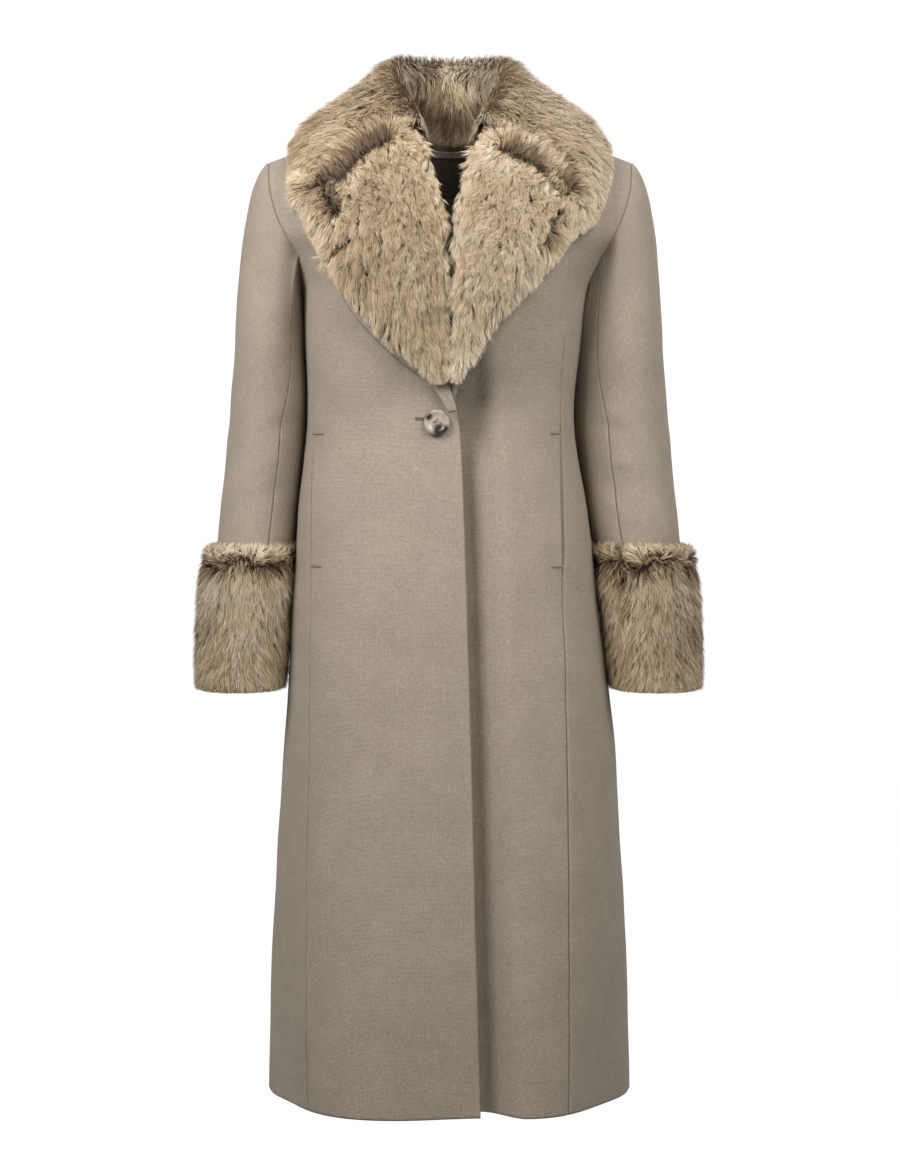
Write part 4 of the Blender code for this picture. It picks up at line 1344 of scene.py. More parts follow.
@dataclass(frozen=True)
class Sleeve(SubAssembly):
    """A two-piece sleeve, from the armhole over its head and down to the wrist, in wool.

    Turns run from 0 at the top and outside, through 90 ahead, to 180 under the arm.
    """

    torso: Torso
    side: Side
    shift: Pair = Pair(0.0, 0.003)
    draw: Pair = Pair(0.0, 0.022)
    head_out: float = 0.0435
    head_cap: float = 0.0435
    head_ease: float = 0.030
    head_fall: float = 0.068
    head_front_fall: float = 0.032
    head_flare: float = 0.008
    head_hang: float = 1.1
    gap: float = 0.0006
    seam_lap: float = 0.2
    tuck_power: float = 2.5
    twist: float = 16
    twist_from: float = 30
    twist_end: float = -0.36
    allowance: tuple[float, ...] = (0.010, 0.004)
    allowance_depth: float = 0.0065
    seam_dip: float = 0.0015
    head_rows: int = 32
    ring_rows: int = 64
    upper_columns: int = 48
    under_columns: int = 24
    head_crowd: float = 1.5
    crease_radius: float = 0.052
    waver: float = 0.0006
    waver_cells: tuple[float, float] = (0.035, 0.040)
    free: Ramp = Ramp(0.0, 0.06)
    upper_cut: Cut = Cut(0.310, 0.621, 0.126)
    under_cut: Cut = Cut(0.153, 0.517, 0.054)

    def ring(self, turn: Array, height: Array | float, grow: Array | float = 0.0) -> Array:
        """Points of the sleeve below its head.

        Args:
            turn: Turns round the sleeve, in degrees.
            height: Heights.
            grow: How far out from the sleeve.

        Returns:
            Points, along a last axis of three.
        """
        turn = np.asarray(turn, float)
        high = smoothstep((height - self.twist_end) / (SLEEVE_RINGS[0].height - self.twist_end))
        by_seam = np.sin(np.radians(np.clip(turn - self.twist_from, 0, 180))) ** 2
        phase = np.radians(turn + self.twist * high * by_seam - 90)
        x, y, half_x, half_y = (read(SLEEVE_RINGS, key, height) for key in SleeveRing._fields[1:5])
        tuck = read(SLEEVE_RINGS, f"tuck_{self.side.word}", height)
        behind = ((1 - np.cos(phase)) / 2) ** self.tuck_power * (1 + np.sin(phase)) / 2
        ease = read(SLEEVE_RINGS, "left_ease", height) if self.side is Side.LEFT else 0.0
        across = self.side.value * (x - ease - (half_x + ease + grow) * np.sin(phase) - tuck * behind)
        across = across - self.shift.on(self.side)
        deep = y - (half_y + grow) * np.cos(phase)
        return np.stack(np.broadcast_arrays(across, deep, np.asarray(height, float)), axis=-1)

    def surface(self, turn: Array) -> Array:
        """Lays out the sleeve, in rows from the seam allowance in the armhole: the head, then the rings.

        Args:
            turn: Turns round the sleeve, in degrees.

        Returns:
            Its grid, a column for each turn.
        """
        torso, sign = self.torso, self.side.value
        height = torso.armhole_height(turn)
        ring_top, ring_end = SLEEVE_RINGS[0].height, SLEEVE_RINGS[-1].height
        up, ahead = np.cos(np.radians(turn)), np.sin(np.radians(turn))
        drawn_in = self.draw.on(self.side) * (1 - up) / 2
        across = sign * (self.head_out + self.head_cap * up - drawn_in)
        fall = -(self.head_fall + self.head_front_fall * ahead**2)
        leave = np.stack([across, -self.head_ease * ahead, fall], axis=-1)
        flare = np.full_like(up, sign * self.head_flare)
        arrive = np.stack([flare, 0 * up, self.head_hang * (ring_top - height)], axis=-1)
        angle = torso.armhole_angle(self.side, turn)
        inside = -torso.normals(angle, height)
        start = torso.points(angle, height) + unit(leave) * self.gap
        down = np.linspace(0, 1, self.head_rows + 1)[:, None, None] ** self.head_crowd
        head = hermite(down, start, leave, self.ring(turn, ring_top), arrive)
        turned = [start + inside * self.allowance_depth - unit(leave) * width for width in self.allowance]
        head[0] += inside * self.seam_dip
        below = np.linspace(ring_top, ring_end, self.ring_rows + 1)[1:, None]
        return np.concatenate([turned, head, self.ring(turn[None, :], below)])

    def piece(self, name: str, first: float, last: float, columns: int, cut: Cut) -> Cloth:
        """One of the sleeve's two pieces.

        Args:
            name: Its name.
            first: The turn it starts at.
            last: The turn it ends at.
            columns: How many columns of faces it has.
            cut: Its flat size.

        Returns:
            The cloth.
        """
        turn = crowded(first - self.seam_lap, last + self.seam_lap, columns)
        points = self.surface(turn)
        flip = self.side is Side.RIGHT
        height = points[..., 2]
        push = crease_push(SLEEVE_CREASES, turn[None, :], height, self.crease_radius)
        across, deep = (way(np.radians(turn))[None, :] * self.crease_radius for way in (np.sin, np.cos))
        seed = 10 + self.side.value
        waver = tube_wander((seed, seed + 4), self.waver_cells, across, deep, height)
        out = (push + self.waver * waver) * self.free.at(run(points, 0))
        points = points + grid_normals(points) * (-1 if flip else 1) * out[..., None]
        return Cloth(
            part=f"{name}_sleeve_{self.side.word}",
            points=points,
            cut=cut,
            flip=flip,
            edges=Ends(Edge.SEWN, Edge.SEWN, last_row=Edge.TURNED),
            rests_on=(f"front_{self.side.word}_wool", "back_wool"),
        )

    def build(self, finishes: Finishes) -> None:
        """Builds the sleeve's two pieces."""
        front, back = self.torso.front_seam_turn, self.torso.back_seam_turn
        upper = self.piece("upper", back - 360, front, self.upper_columns, self.upper_cut)
        under = self.piece("under", front, back, self.under_columns, self.under_cut)
        for piece in (upper, under):
            piece.build(finishes.wool)


@dataclass(frozen=True)
class FurGround:
    """A stretch of fur, as grids over its skin.

    Backing is the skin, and reach goes from it to the tips. Lay is the way the strands lie, as a vector
    that is shorter where they stand up. Room is how far a tip may run, and tone goes from -1, dark, to 1,
    cream. Roots is half the width of a parting: the pile dips there, its tone is darker, and a band of
    painted highlight lies beside it, whose place and width are counted in roots.
    """

    backing: Array
    reach: Array
    lay: Array
    room: Array
    tone: Array
    roots: float = 0.0055
    dip: float = 0.45
    darker: float = 1.5
    painted_shine: float = 0.4
    painted_shine_band: tuple[float, float] = (2.6, 1.4)
    turned_away: float = 0.3
    line_cell: float = 0.016
    line_share: float = 1.1
    line_wander: float = 0.45

    @property
    def skin(self) -> Array:
        """Points at the tips of the strands, where they stand straight."""
        return self.backing + self.reach

    def parted(self, off: Array, distance: Array, strength: Array, spread: float = 0.022) -> FurGround:
        """The fur with partings: dark roots along them, and pale strands that lie away on both sides.

        Args:
            off: Ways off the nearest parting, as unit vectors.
            distance: How far off it is.
            strength: How far the fur is parted there, from 0 to 1.
            spread: How far off the strands are turned away.

        Returns:
            The parted fur.
        """
        bare = strength * bump(distance, 0.0, self.roots)
        near = np.sqrt(strength) * bump(distance, 0.0, spread * strength)
        # Painted highlight: the strands in a band beside the parting are made paler
        painted_shine = strength * bump(distance, *(share * self.roots for share in self.painted_shine_band))
        return replace(
            self,
            reach=self.reach * (1 - self.dip * bare)[..., None],
            lay=self.lay * (1 - near)[..., None] + off * near[..., None],
            room=np.where(near > self.turned_away, np.maximum(self.room, spread), self.room),
            tone=self.tone - self.darker * bare + self.painted_shine * painted_shine,
        )

    def parted_round_neck(self, seed: int) -> FurGround:
        """Parts the fur on the lines round the neck, which wander.

        Args:
            seed: What the wander starts from.

        Returns:
            The parted fur.
        """
        off, distance, strength = off_partings(self.skin)
        wander = Wander(seed, self.line_cell).at(run(self.skin, 1), run(self.skin, 0))
        return self.parted(off, distance * (self.line_share + self.line_wander * wander), strength)


# Behind the neck there are no partings: there they count as a distance further off
BEHIND, OUT_OF_SIGHT = Ramp(-0.03, 0.03), 0.1


def off_partings(points: Array) -> tuple[Array, Array, Array]:
    """Finds the nearest parting of the fur round the neck, as seen from the front.

    Args:
        points: Points of the fur.

    Returns:
        For each of them the way off it, how far it is, and its strength.
    """
    flat, distance = points[..., [0, 2]], np.full(points.shape[:-1], np.inf)
    off, strength = np.ones(flat.shape), np.ones(points.shape[:-1])
    for parting in PARTINGS:
        start, end = np.array(parting[:4]).reshape(2, 2)
        share = np.clip((flat - start) @ (end - start) / ((end - start) @ (end - start)), 0, 1)
        way = flat - start - share[..., None] * (end - start)
        length = np.linalg.norm(way, axis=-1)
        off = np.where((length < distance)[..., None], way, off)
        strength = np.where(length < distance, parting.strength, strength)
        distance = np.minimum(length, distance)
    distance = distance + OUT_OF_SIGHT * BEHIND.at(points[..., 1])
    return unit(np.insert(off, 1, 0.0, axis=-1)), distance, strength


@dataclass(frozen=True)
class Pile:
    """The strands of a stretch of fur: bent ribbons that taper to a point and gather in small tufts.

    Shares of a strand's rise and run have a middle value, a part that follows its tuft's lean, and noise.
    """

    name: str
    count: int
    seed: int
    length: float = 0.026
    length_noise: float = 0.14
    length_limits: tuple[float, float] = (0.5, 1.35)
    width: float = 0.00066
    root: float = 0.25
    tuft: float = 0.0044
    tuft_scatter: float = 0.45
    gather: float = 0.40
    stray: float = 0.42
    upright_stray: float = 2
    swirl: float = 0.4
    swirl_cell: float = 0.030
    turn_noise: float = 0.14
    rise: tuple[float, float, float] = (0.92, 0.14, 0.09)
    run: tuple[float, float] = (0.85, 0.3)
    least_run: float = 0.2
    room: tuple[float, float] = (0.8, 0.3)
    bend: tuple[float, float, float] = (0.64, 0.34, 0.3)
    droop: float = 0.0012
    facing_noise: float = 0.35
    tuft_shading: float = 0.9
    shading_noise: float = 0.12
    mottle: float = 0.30
    tone_noise: float = 0.22
    tone_limits: tuple[float, float] = (0.01, 0.99)
    # Where the five corners of a ribbon lie on the way from root to tip
    corners: tuple[float, ...] = (0.02, 0.02, 0.55, 0.55, 0.98)

    def tufts(self, u: Array, v: Array) -> Array:
        """Finds the tuft of each strand, the nearest of the uneven places around it.

        Args:
            u: The strands' places across the fur.
            v: Their places along it.

        Returns:
            For each strand the way to its tuft across and along, and three numbers of the tuft from -1 to 1.
        """
        cell_u, cell_v = (np.floor(place / self.tuft).astype(np.int64) for place in (u, v))
        nearest = np.full(u.shape, np.inf)
        found = np.zeros((5, *u.shape))
        for i in (cell_u - 1, cell_u, cell_u + 1):
            for j in (cell_v - 1, cell_v, cell_v + 1):
                numbers = [Wander(self.seed + k, 1.0).corner(i, j) for k in range(5)]
                to_u = (i + 0.5 + self.tuft_scatter * numbers[0]) * self.tuft - u
                to_v = (j + 0.5 + self.tuft_scatter * numbers[1]) * self.tuft - v
                away = np.hypot(to_u, to_v)
                found = np.where(away < nearest, np.stack([to_u, to_v, *numbers[2:]]), found)
                nearest = np.minimum(away, nearest)
        return found

    def strands(self, ground: FurGround) -> tuple[Array, Array, Array]:
        """Grows the strands. Those that stand up stray every way, and those that lie down run together.

        Args:
            ground: The fur they grow from.

        Returns:
            The corners of the ribbons, five each from root to tip, their normals, and the strands' tones.
        """
        rng = np.random.default_rng(self.seed)
        skin = ground.skin
        sides = np.cross(skin[1:, :-1] - skin[:-1, :-1], skin[:-1, 1:] - skin[:-1, :-1])
        weight = np.linalg.norm(sides, axis=-1)
        cells = rng.choice(weight.size, size=self.count, p=(weight / weight.sum()).ravel())
        row, column = np.divmod(cells, weight.shape[1])
        s, t = rng.random(self.count), rng.random(self.count)

        def at(grid: Array) -> Array:
            """Reads a grid at the roots.

            Args:
                grid: The grid.

            Returns:
                Its value at each root.
            """
            a, b = (s, t) if grid.ndim == 2 else (s[:, None], t[:, None])
            low = grid[row, column] * (1 - b) + grid[row, column + 1] * b
            high = grid[row + 1, column] * (1 - b) + grid[row + 1, column + 1] * b
            return low * (1 - a) + high * a

        u, v = at(run(skin, 1)), at(run(skin, 0))
        along_u, along_v = (unit(at(np.gradient(skin, axis=axis))) for axis in (1, 0))
        reach = at(ground.reach)
        height = np.linalg.norm(reach, axis=1)
        out = unit(reach)
        lay = at(ground.lay)
        eager = np.clip(np.linalg.norm(lay, axis=1), 0, 1)
        to_u, to_v, stray, lean, pale = self.tufts(u, v)
        turn = self.swirl * Wander(self.seed, self.swirl_cell).at(u, v)
        turn = turn + self.stray * stray * (1 + self.upright_stray * (1 - eager))
        turn = turn + self.turn_noise * rng.standard_normal(self.count)
        lay = unit(lay) * np.cos(turn)[:, None] + np.cross(out, unit(lay)) * np.sin(turn)[:, None]
        uneven = 1 + self.length_noise * rng.standard_normal(self.count)
        length = self.length * np.clip(uneven, *self.length_limits)
        share, by_lean, noise = self.rise
        share = share - by_lean * lean + noise * rng.standard_normal(self.count)
        rise = height * (1 - self.root) * share
        far = np.sqrt(np.maximum(length**2 - rise**2, (self.least_run * length) ** 2))
        far = far * eager * (self.run[0] + self.run[1] * lean)
        far = np.minimum(far, at(ground.room) * (self.room[0] + self.room[1] * rng.random(self.count)))
        drawn = (along_u * to_u[:, None] + along_v * to_v[:, None]) * self.gather
        root = at(ground.backing) + reach * self.root
        up, ahead, aside = self.bend
        middle = root + out * (up * rise)[:, None] + lay * (ahead * far)[:, None] + drawn * aside
        tip = root + out * rise[:, None] + lay * far[:, None] + drawn
        tip[:, 2] -= self.droop
        facing = unit(out + self.facing_noise * rng.standard_normal((self.count, 3)))
        wide = unit(np.cross(tip - root, facing)) * self.width / 2
        ribbon = np.stack([root - wide, root + wide, middle - wide, middle + wide, tip], axis=1)
        noise = self.shading_noise * rng.standard_normal((self.count, 3))
        normal = unit(out - drawn / self.tuft * self.tuft_shading + noise)
        tone = at(ground.tone) + self.mottle * pale + self.tone_noise * rng.standard_normal(self.count)
        return ribbon, normal, np.clip(0.5 + 0.5 * tone, *self.tone_limits)

    def mesh(self, ground: FurGround) -> bpy.types.Mesh:
        """Makes the strands one mesh, with a map that runs from root to tip and over the tones.

        Args:
            ground: The fur they grow from.

        Returns:
            The mesh.
        """
        ribbon, normal, tone = self.strands(ground)
        each = len(self.corners)
        first = np.arange(self.count)[:, None] * each
        faces = np.array([[0, 1, 3], [0, 3, 2], [2, 3, 4]])
        corners = (first[:, :, None] + faces[None]).reshape(-1)
        mesh = bpy.data.meshes.new(self.name)
        mesh.vertices.add(self.count * each)
        mesh.vertices.foreach_set("co", ribbon.astype(np.float32).ravel())
        mesh.loops.add(len(corners))
        mesh.loops.foreach_set("vertex_index", corners.astype(np.int32))
        mesh.polygons.add(len(corners) // 3)
        mesh.polygons.foreach_set("loop_start", np.arange(0, len(corners), 3, dtype=np.int32))
        mesh.update(calc_edges=True)
        from_root = np.tile(np.array(self.corners), self.count)
        strand = np.stack([from_root, np.repeat(tone, each)], axis=-1)[corners]
        mesh.uv_layers.new(name=STRAND).data.foreach_set("uv", strand.astype(np.float32).ravel())
        mesh.shade_smooth()
        mesh.normals_split_custom_set_from_vertices(np.repeat(normal, each, axis=0).tolist())
        return mesh


@dataclass(frozen=True)
class FurPiece(SubAssembly):
    """A fur piece: its skin as a shell on the solid's form, and the strands that grow from it."""

    name: str
    ground: FurGround
    pile: Pile
    cut: Cut
    flip: bool
    rests_on: tuple[str, ...]
    closed: bool = False
    skin_share: float = 0.24
    skin_thickness: float = 0.002
    skin_stride: int = 2

    def build(self, finishes: Finishes) -> None:
        """Builds the strands and the skin, which stands for the solid."""
        strands = add_piece(self.pile.name, self.pile.mesh(self.ground), finishes.fur, Slot.FUR)
        every = slice(None, None, self.skin_stride)
        Cloth(
            part=self.name,
            points=(self.ground.backing + self.ground.reach * self.skin_share)[every, every],
            cut=self.cut,
            stuff="skin",
            slot=Slot.FUR,
            thickness=self.skin_thickness,
            flip=self.flip,
            closed=self.closed,
            held=Held.FOLDED,
            rests_on=self.rests_on,
        ).build(finishes.skin, [strands])


def along_grid(points: Array, axis: int) -> Array:
    """Unit vectors along a grid's rows (axis 1) or columns (axis 0)."""
    return unit(np.gradient(points, axis=axis))


def through(knots: Array, positions: Array) -> Array:
    """Runs a smooth curve through knots.

    Args:
        knots: The knots.
        positions: Places along the curve, counted in knots.

    Returns:
        The curve's points there.
    """
    steps = np.diff(knots, axis=0)
    lengths = np.linalg.norm(steps, axis=1)[:, None]
    slopes = steps / lengths
    before, after = lengths[:-1], lengths[1:]
    inner = (slopes[:-1] * after + slopes[1:] * before) / (before + after)
    tangents = np.concatenate([slopes[:1], inner, slopes[-1:]])
    first = np.clip(np.floor(positions).astype(int), 0, len(knots) - 2)
    t = (positions - first)[:, None]
    length = lengths[first]
    return hermite(t, knots[first], length * tangents[first], knots[first + 1], length * tangents[first + 1])


def nearest_on(line: Array, guide: Array) -> Array:
    """Finds where a line passes nearest to a guide.

    Args:
        line: The line's points.
        guide: The point to come near to.

    Returns:
        The place on the line.
    """
    steps = np.diff(line, axis=0)
    share = np.clip(((guide - line[:-1]) * steps).sum(axis=1) / (steps**2).sum(axis=1), 0, 1)
    feet = line[:-1] + steps * share[:, None]
    return feet[np.argmin(np.linalg.norm(feet - guide, axis=1))]


@dataclass(frozen=True)
class FurForm:
    """The form of the fur round the neck: its skin at stations from the centre back, and its reach."""

    torso: Torso
    pile: float = 0.020
    roll_radius: float = 0.006
    gorge: float = 0.575
    gorge_gap: float = 0.0007
    neck_gap: float = 0.0009
    left_lapel_reach: float = 0.85
    left_lapel_lean: float = 0.28
    left_lapel_fade: float = 0.09
    left_lapel_taper: float = 0.40
    left_lapel_tip: Ramp = Ramp(0.68, 0.32)
    stand_knots: int = 3
    stand_thinning: float = 0.78
    beside_neck: Ramp = Ramp(0.12, 0.18)
    stand_lean: float = 0.5
    station_step: float = 0.01
    tip_from: float = 0.86
    tip_thinning: float = 0.55
    # Places of knots: shares of the way up the stand, over the roll, and from the roll to the edge and crown
    stand_middle: float = 0.55
    over_roll: tuple[float, float] = (1.6, 0.2)
    lapel_start: tuple[float, float] = (0.14, 0.6)
    fall: tuple[tuple[float, float], ...] = ((0.42, 1.0), (0.76, 0.75))
    collar_pile: tuple[float, ...] = (0.28, 0.55, 0.75, 0.95, 1.0, 1.0, 0.95, 0.36)
    lapel_pile: tuple[float, ...] = (0.34, 0.92, 1.0, 0.95, 0.36)

    def point(self, which: str, station: float) -> Array:
        """A point of the table of stations: the neck seam, the roll or the outer edge."""
        return np.stack([read(COLLAR_ROWS, f"{which}_{axis}", station) for axis in "xyz"], axis=-1)

    def section(self, station: float, positions: Array, neckline: Array | None) -> tuple[Array, Array]:
        """A section across the fur.

        Args:
            station: Where it is cut, from 0 at the centre back to 1 at the break.
            positions: Places along it, counted in the knots of the pile.
            neckline: The line that a collar's stand is sewn to, or None on a lapel, which has no stand.

        Returns:
            Points of the skin, and the reach of the pile over them.
        """
        neck, roll, edge = (self.point(which, station) for which in ("neck", "roll", "edge"))
        crown = float(read(COLLAR_ROWS, "crown", station))
        chord = edge - roll
        later, sooner = min(station + self.station_step, 1), max(station - self.station_step, 0)
        ahead = self.point("roll", later) - self.point("roll", sooner)
        away = unit(np.cross(ahead, chord))
        fall = [roll + chord * share + away * crown * height for share, height in self.fall] + [edge]
        if neckline is not None:
            neck = nearest_on(neckline, neck) + [0, 0, self.neck_gap]
            over, up = unit(chord * [1, 1, 0]), np.array([0, 0, 1])
            start = roll - over * self.roll_radius
            past, rise = self.over_roll
            over_roll = roll + (over * past + up * rise) * self.roll_radius
            turn = [start, roll + up * self.roll_radius, over_roll]
            knots = np.array([neck, neck + (start - neck) * self.stand_middle, *turn, *fall])
            leaning = unit(up * self.stand_lean - over)
            ways = np.array([-over, -over, leaning, up, unit(up + away), away, away, away])
            pile = np.array(self.collar_pile)
            pile[: self.stand_knots] *= 1 - self.stand_thinning * self.beside_neck.at(station)
        else:
            share, height = self.lapel_start
            knots = np.array([roll, roll + chord * share + away * crown * height, *fall])
            ways = np.array([away] * len(knots))
            pile = np.array(self.lapel_pile)
        reach = ways * (pile * self.pile)[:, None]
        grown = [np.interp(positions, np.arange(len(knots)), reach[:, axis]) for axis in range(3)]
        return through(knots, positions), np.stack(grown, axis=-1)

    def collar(self, stations: Array, positions: Array) -> tuple[Array, Array]:
        """Lays out the collar.

        Args:
            stations: Stations along it, negative on the wearer's right.
            positions: Places across it, counted in the knots of its pile.

        Returns:
            Grids of its skin, and of the pile's reach over it.
        """
        neckline = self.torso.neckline()
        rows = [self.section(abs(station), positions, neckline) for station in stations]
        flip = np.stack([np.copysign(1.0, stations), *np.ones((2, len(stations)))], axis=-1)[:, None, :]
        return np.stack([row[0] for row in rows]) * flip, np.stack([row[1] for row in rows]) * flip

    def lapel(self, side: Side, stations: Array, positions: Array) -> tuple[Array, Array]:
        """Lays out a lapel. The wearer's left one goes less far out, most of all by the tip.

        Args:
            side: The wearer's side.
            stations: Stations along it.
            positions: Places across it, counted in the knots of its pile.

        Returns:
            Grids of its skin, and of the pile's reach over it.
        """
        rows = [self.section(station, positions, None) for station in stations]
        skin, reach = np.stack([row[0] for row in rows]), np.stack([row[1] for row in rows])
        if side is Side.LEFT:
            drawn = (1 - self.left_lapel_reach) * smoothstep((stations - self.gorge) / self.left_lapel_fade)
            drawn = drawn + self.left_lapel_taper * self.left_lapel_tip.at(stations)
            drawn_in = (skin[:, :, 0] - skin[:, :1, 0]) * drawn[:, None]
            skin[:, :, 0] -= drawn_in
            skin[:, :, 1] -= drawn_in * self.left_lapel_lean
        thinner = 1 - self.tip_thinning * smoothstep((stations - self.tip_from) / (1 - self.tip_from))
        mirror = np.array([side.value, 1, 1])
        return skin * mirror, reach * mirror * thinner[:, None, None]


@dataclass(frozen=True)
class FurCollar(SubAssembly):
    """The collar in one piece round the neck, from gorge seam to gorge seam.

    Places across it are counted in the knots of its pile, from the neck seam to the outer edge.
    """

    form: FurForm
    strands: int = 62000
    stations: int = 180
    positions: int = 84
    cut: Cut = Cut(0.240, 0.722, 0.115)
    outside: float = 3.0
    turn: Ramp = Ramp(2.2, 1.6)
    rim: Ramp = Ramp(0.030, 0.012)
    stubble_places: Ramp = Ramp(3.8, 0.8)
    stubble_stations: Ramp = Ramp(0.46, 0.06)
    stubble_lift: float = 0.3
    side_stations: Ramp = Ramp(0.2, 0.1)
    gorge_stations: float = 0.04
    sweep: float = 0.2
    gorge_sweep: float = 0.7
    room: tuple[float, float] = (0.010, 0.005)
    tone: float = 0.20
    # Painted shade: a dark band inside the stand, and dark strands inside the stand beside the V; painted
    # light: a pale band along the roll at the back
    stand_dark: float = 1.1
    stand_shade_band: tuple[float, float] = (0.7, 0.6)
    stand_shade_end: Ramp = Ramp(2.4, -0.5)
    roll_painted_light: float = 0.4
    roll_painted_light_band: tuple[float, float] = (2.2, 0.7)
    stubble_dark: float = 0.25
    # Painted light: the wearer's left half of the collar is made lighter
    left_light: float = 0.12
    patch: Wander = Wander(21, 0.032)
    patch_tone: float = 0.2

    def ground(self) -> FurGround:
        """Lays out the collar's fur, which hangs inside the neck and falls outwards past the roll.

        Returns:
            The fur.
        """
        end = self.form.gorge - self.form.gorge_gap
        station = np.linspace(-end, end, self.stations + 1)
        place = np.linspace(0, len(self.form.collar_pile) - 1, self.positions + 1)
        backing, reach = self.form.collar(station, place)
        skin = backing + reach
        down, round_neck = along_grid(skin, 1), along_grid(skin, 0)
        across, along = run(skin, 1), run(skin, 0)
        to_edge = across[:, -1:] - across
        p, s, sign = place[None, :], np.abs(station)[:, None], np.sign(station)[:, None]
        fall = 2 * self.turn.at(p) - 1
        stubble = self.stubble_stations.at(s) * self.rim.at(to_edge) * self.stubble_places.at(p)
        gorge = smoothstep((s - end + self.gorge_stations) / self.gorge_stations)
        sweep = (self.sweep + self.gorge_sweep * gorge) * sign
        fall = fall * (1 - self.stubble_lift * stubble)
        lay = down * fall[..., None] + round_neck * sweep[..., None]
        beside = self.side_stations.at(s)
        # Painted shade inside the stand and beside the V, and painted light on the roll and on the wearer's
        # left half
        tone = self.tone - self.stand_dark * bump(p, *self.stand_shade_band)
        tone = tone + self.roll_painted_light * bump(p, *self.roll_painted_light_band) * (1 - beside)
        tone = tone - self.stubble_dark * stubble - self.stand_dark * beside * self.stand_shade_end.at(p)
        tone = tone + self.patch_tone * self.patch.at(across, along) + self.left_light * sign
        past_seam, past_edge = self.room
        room = np.where(p > self.outside, to_edge + past_edge, across + past_seam)
        return FurGround(backing, reach, lay, room, tone).parted_round_neck(22)

    def build(self, finishes: Finishes) -> None:
        """Builds the collar."""
        FurPiece(
            name="collar",
            ground=self.ground(),
            pile=Pile("collar_fur", self.strands, 31),
            cut=self.cut,
            flip=True,
            rests_on=("back_wool", "front_left_wool", "front_right_wool"),
        ).build(finishes)


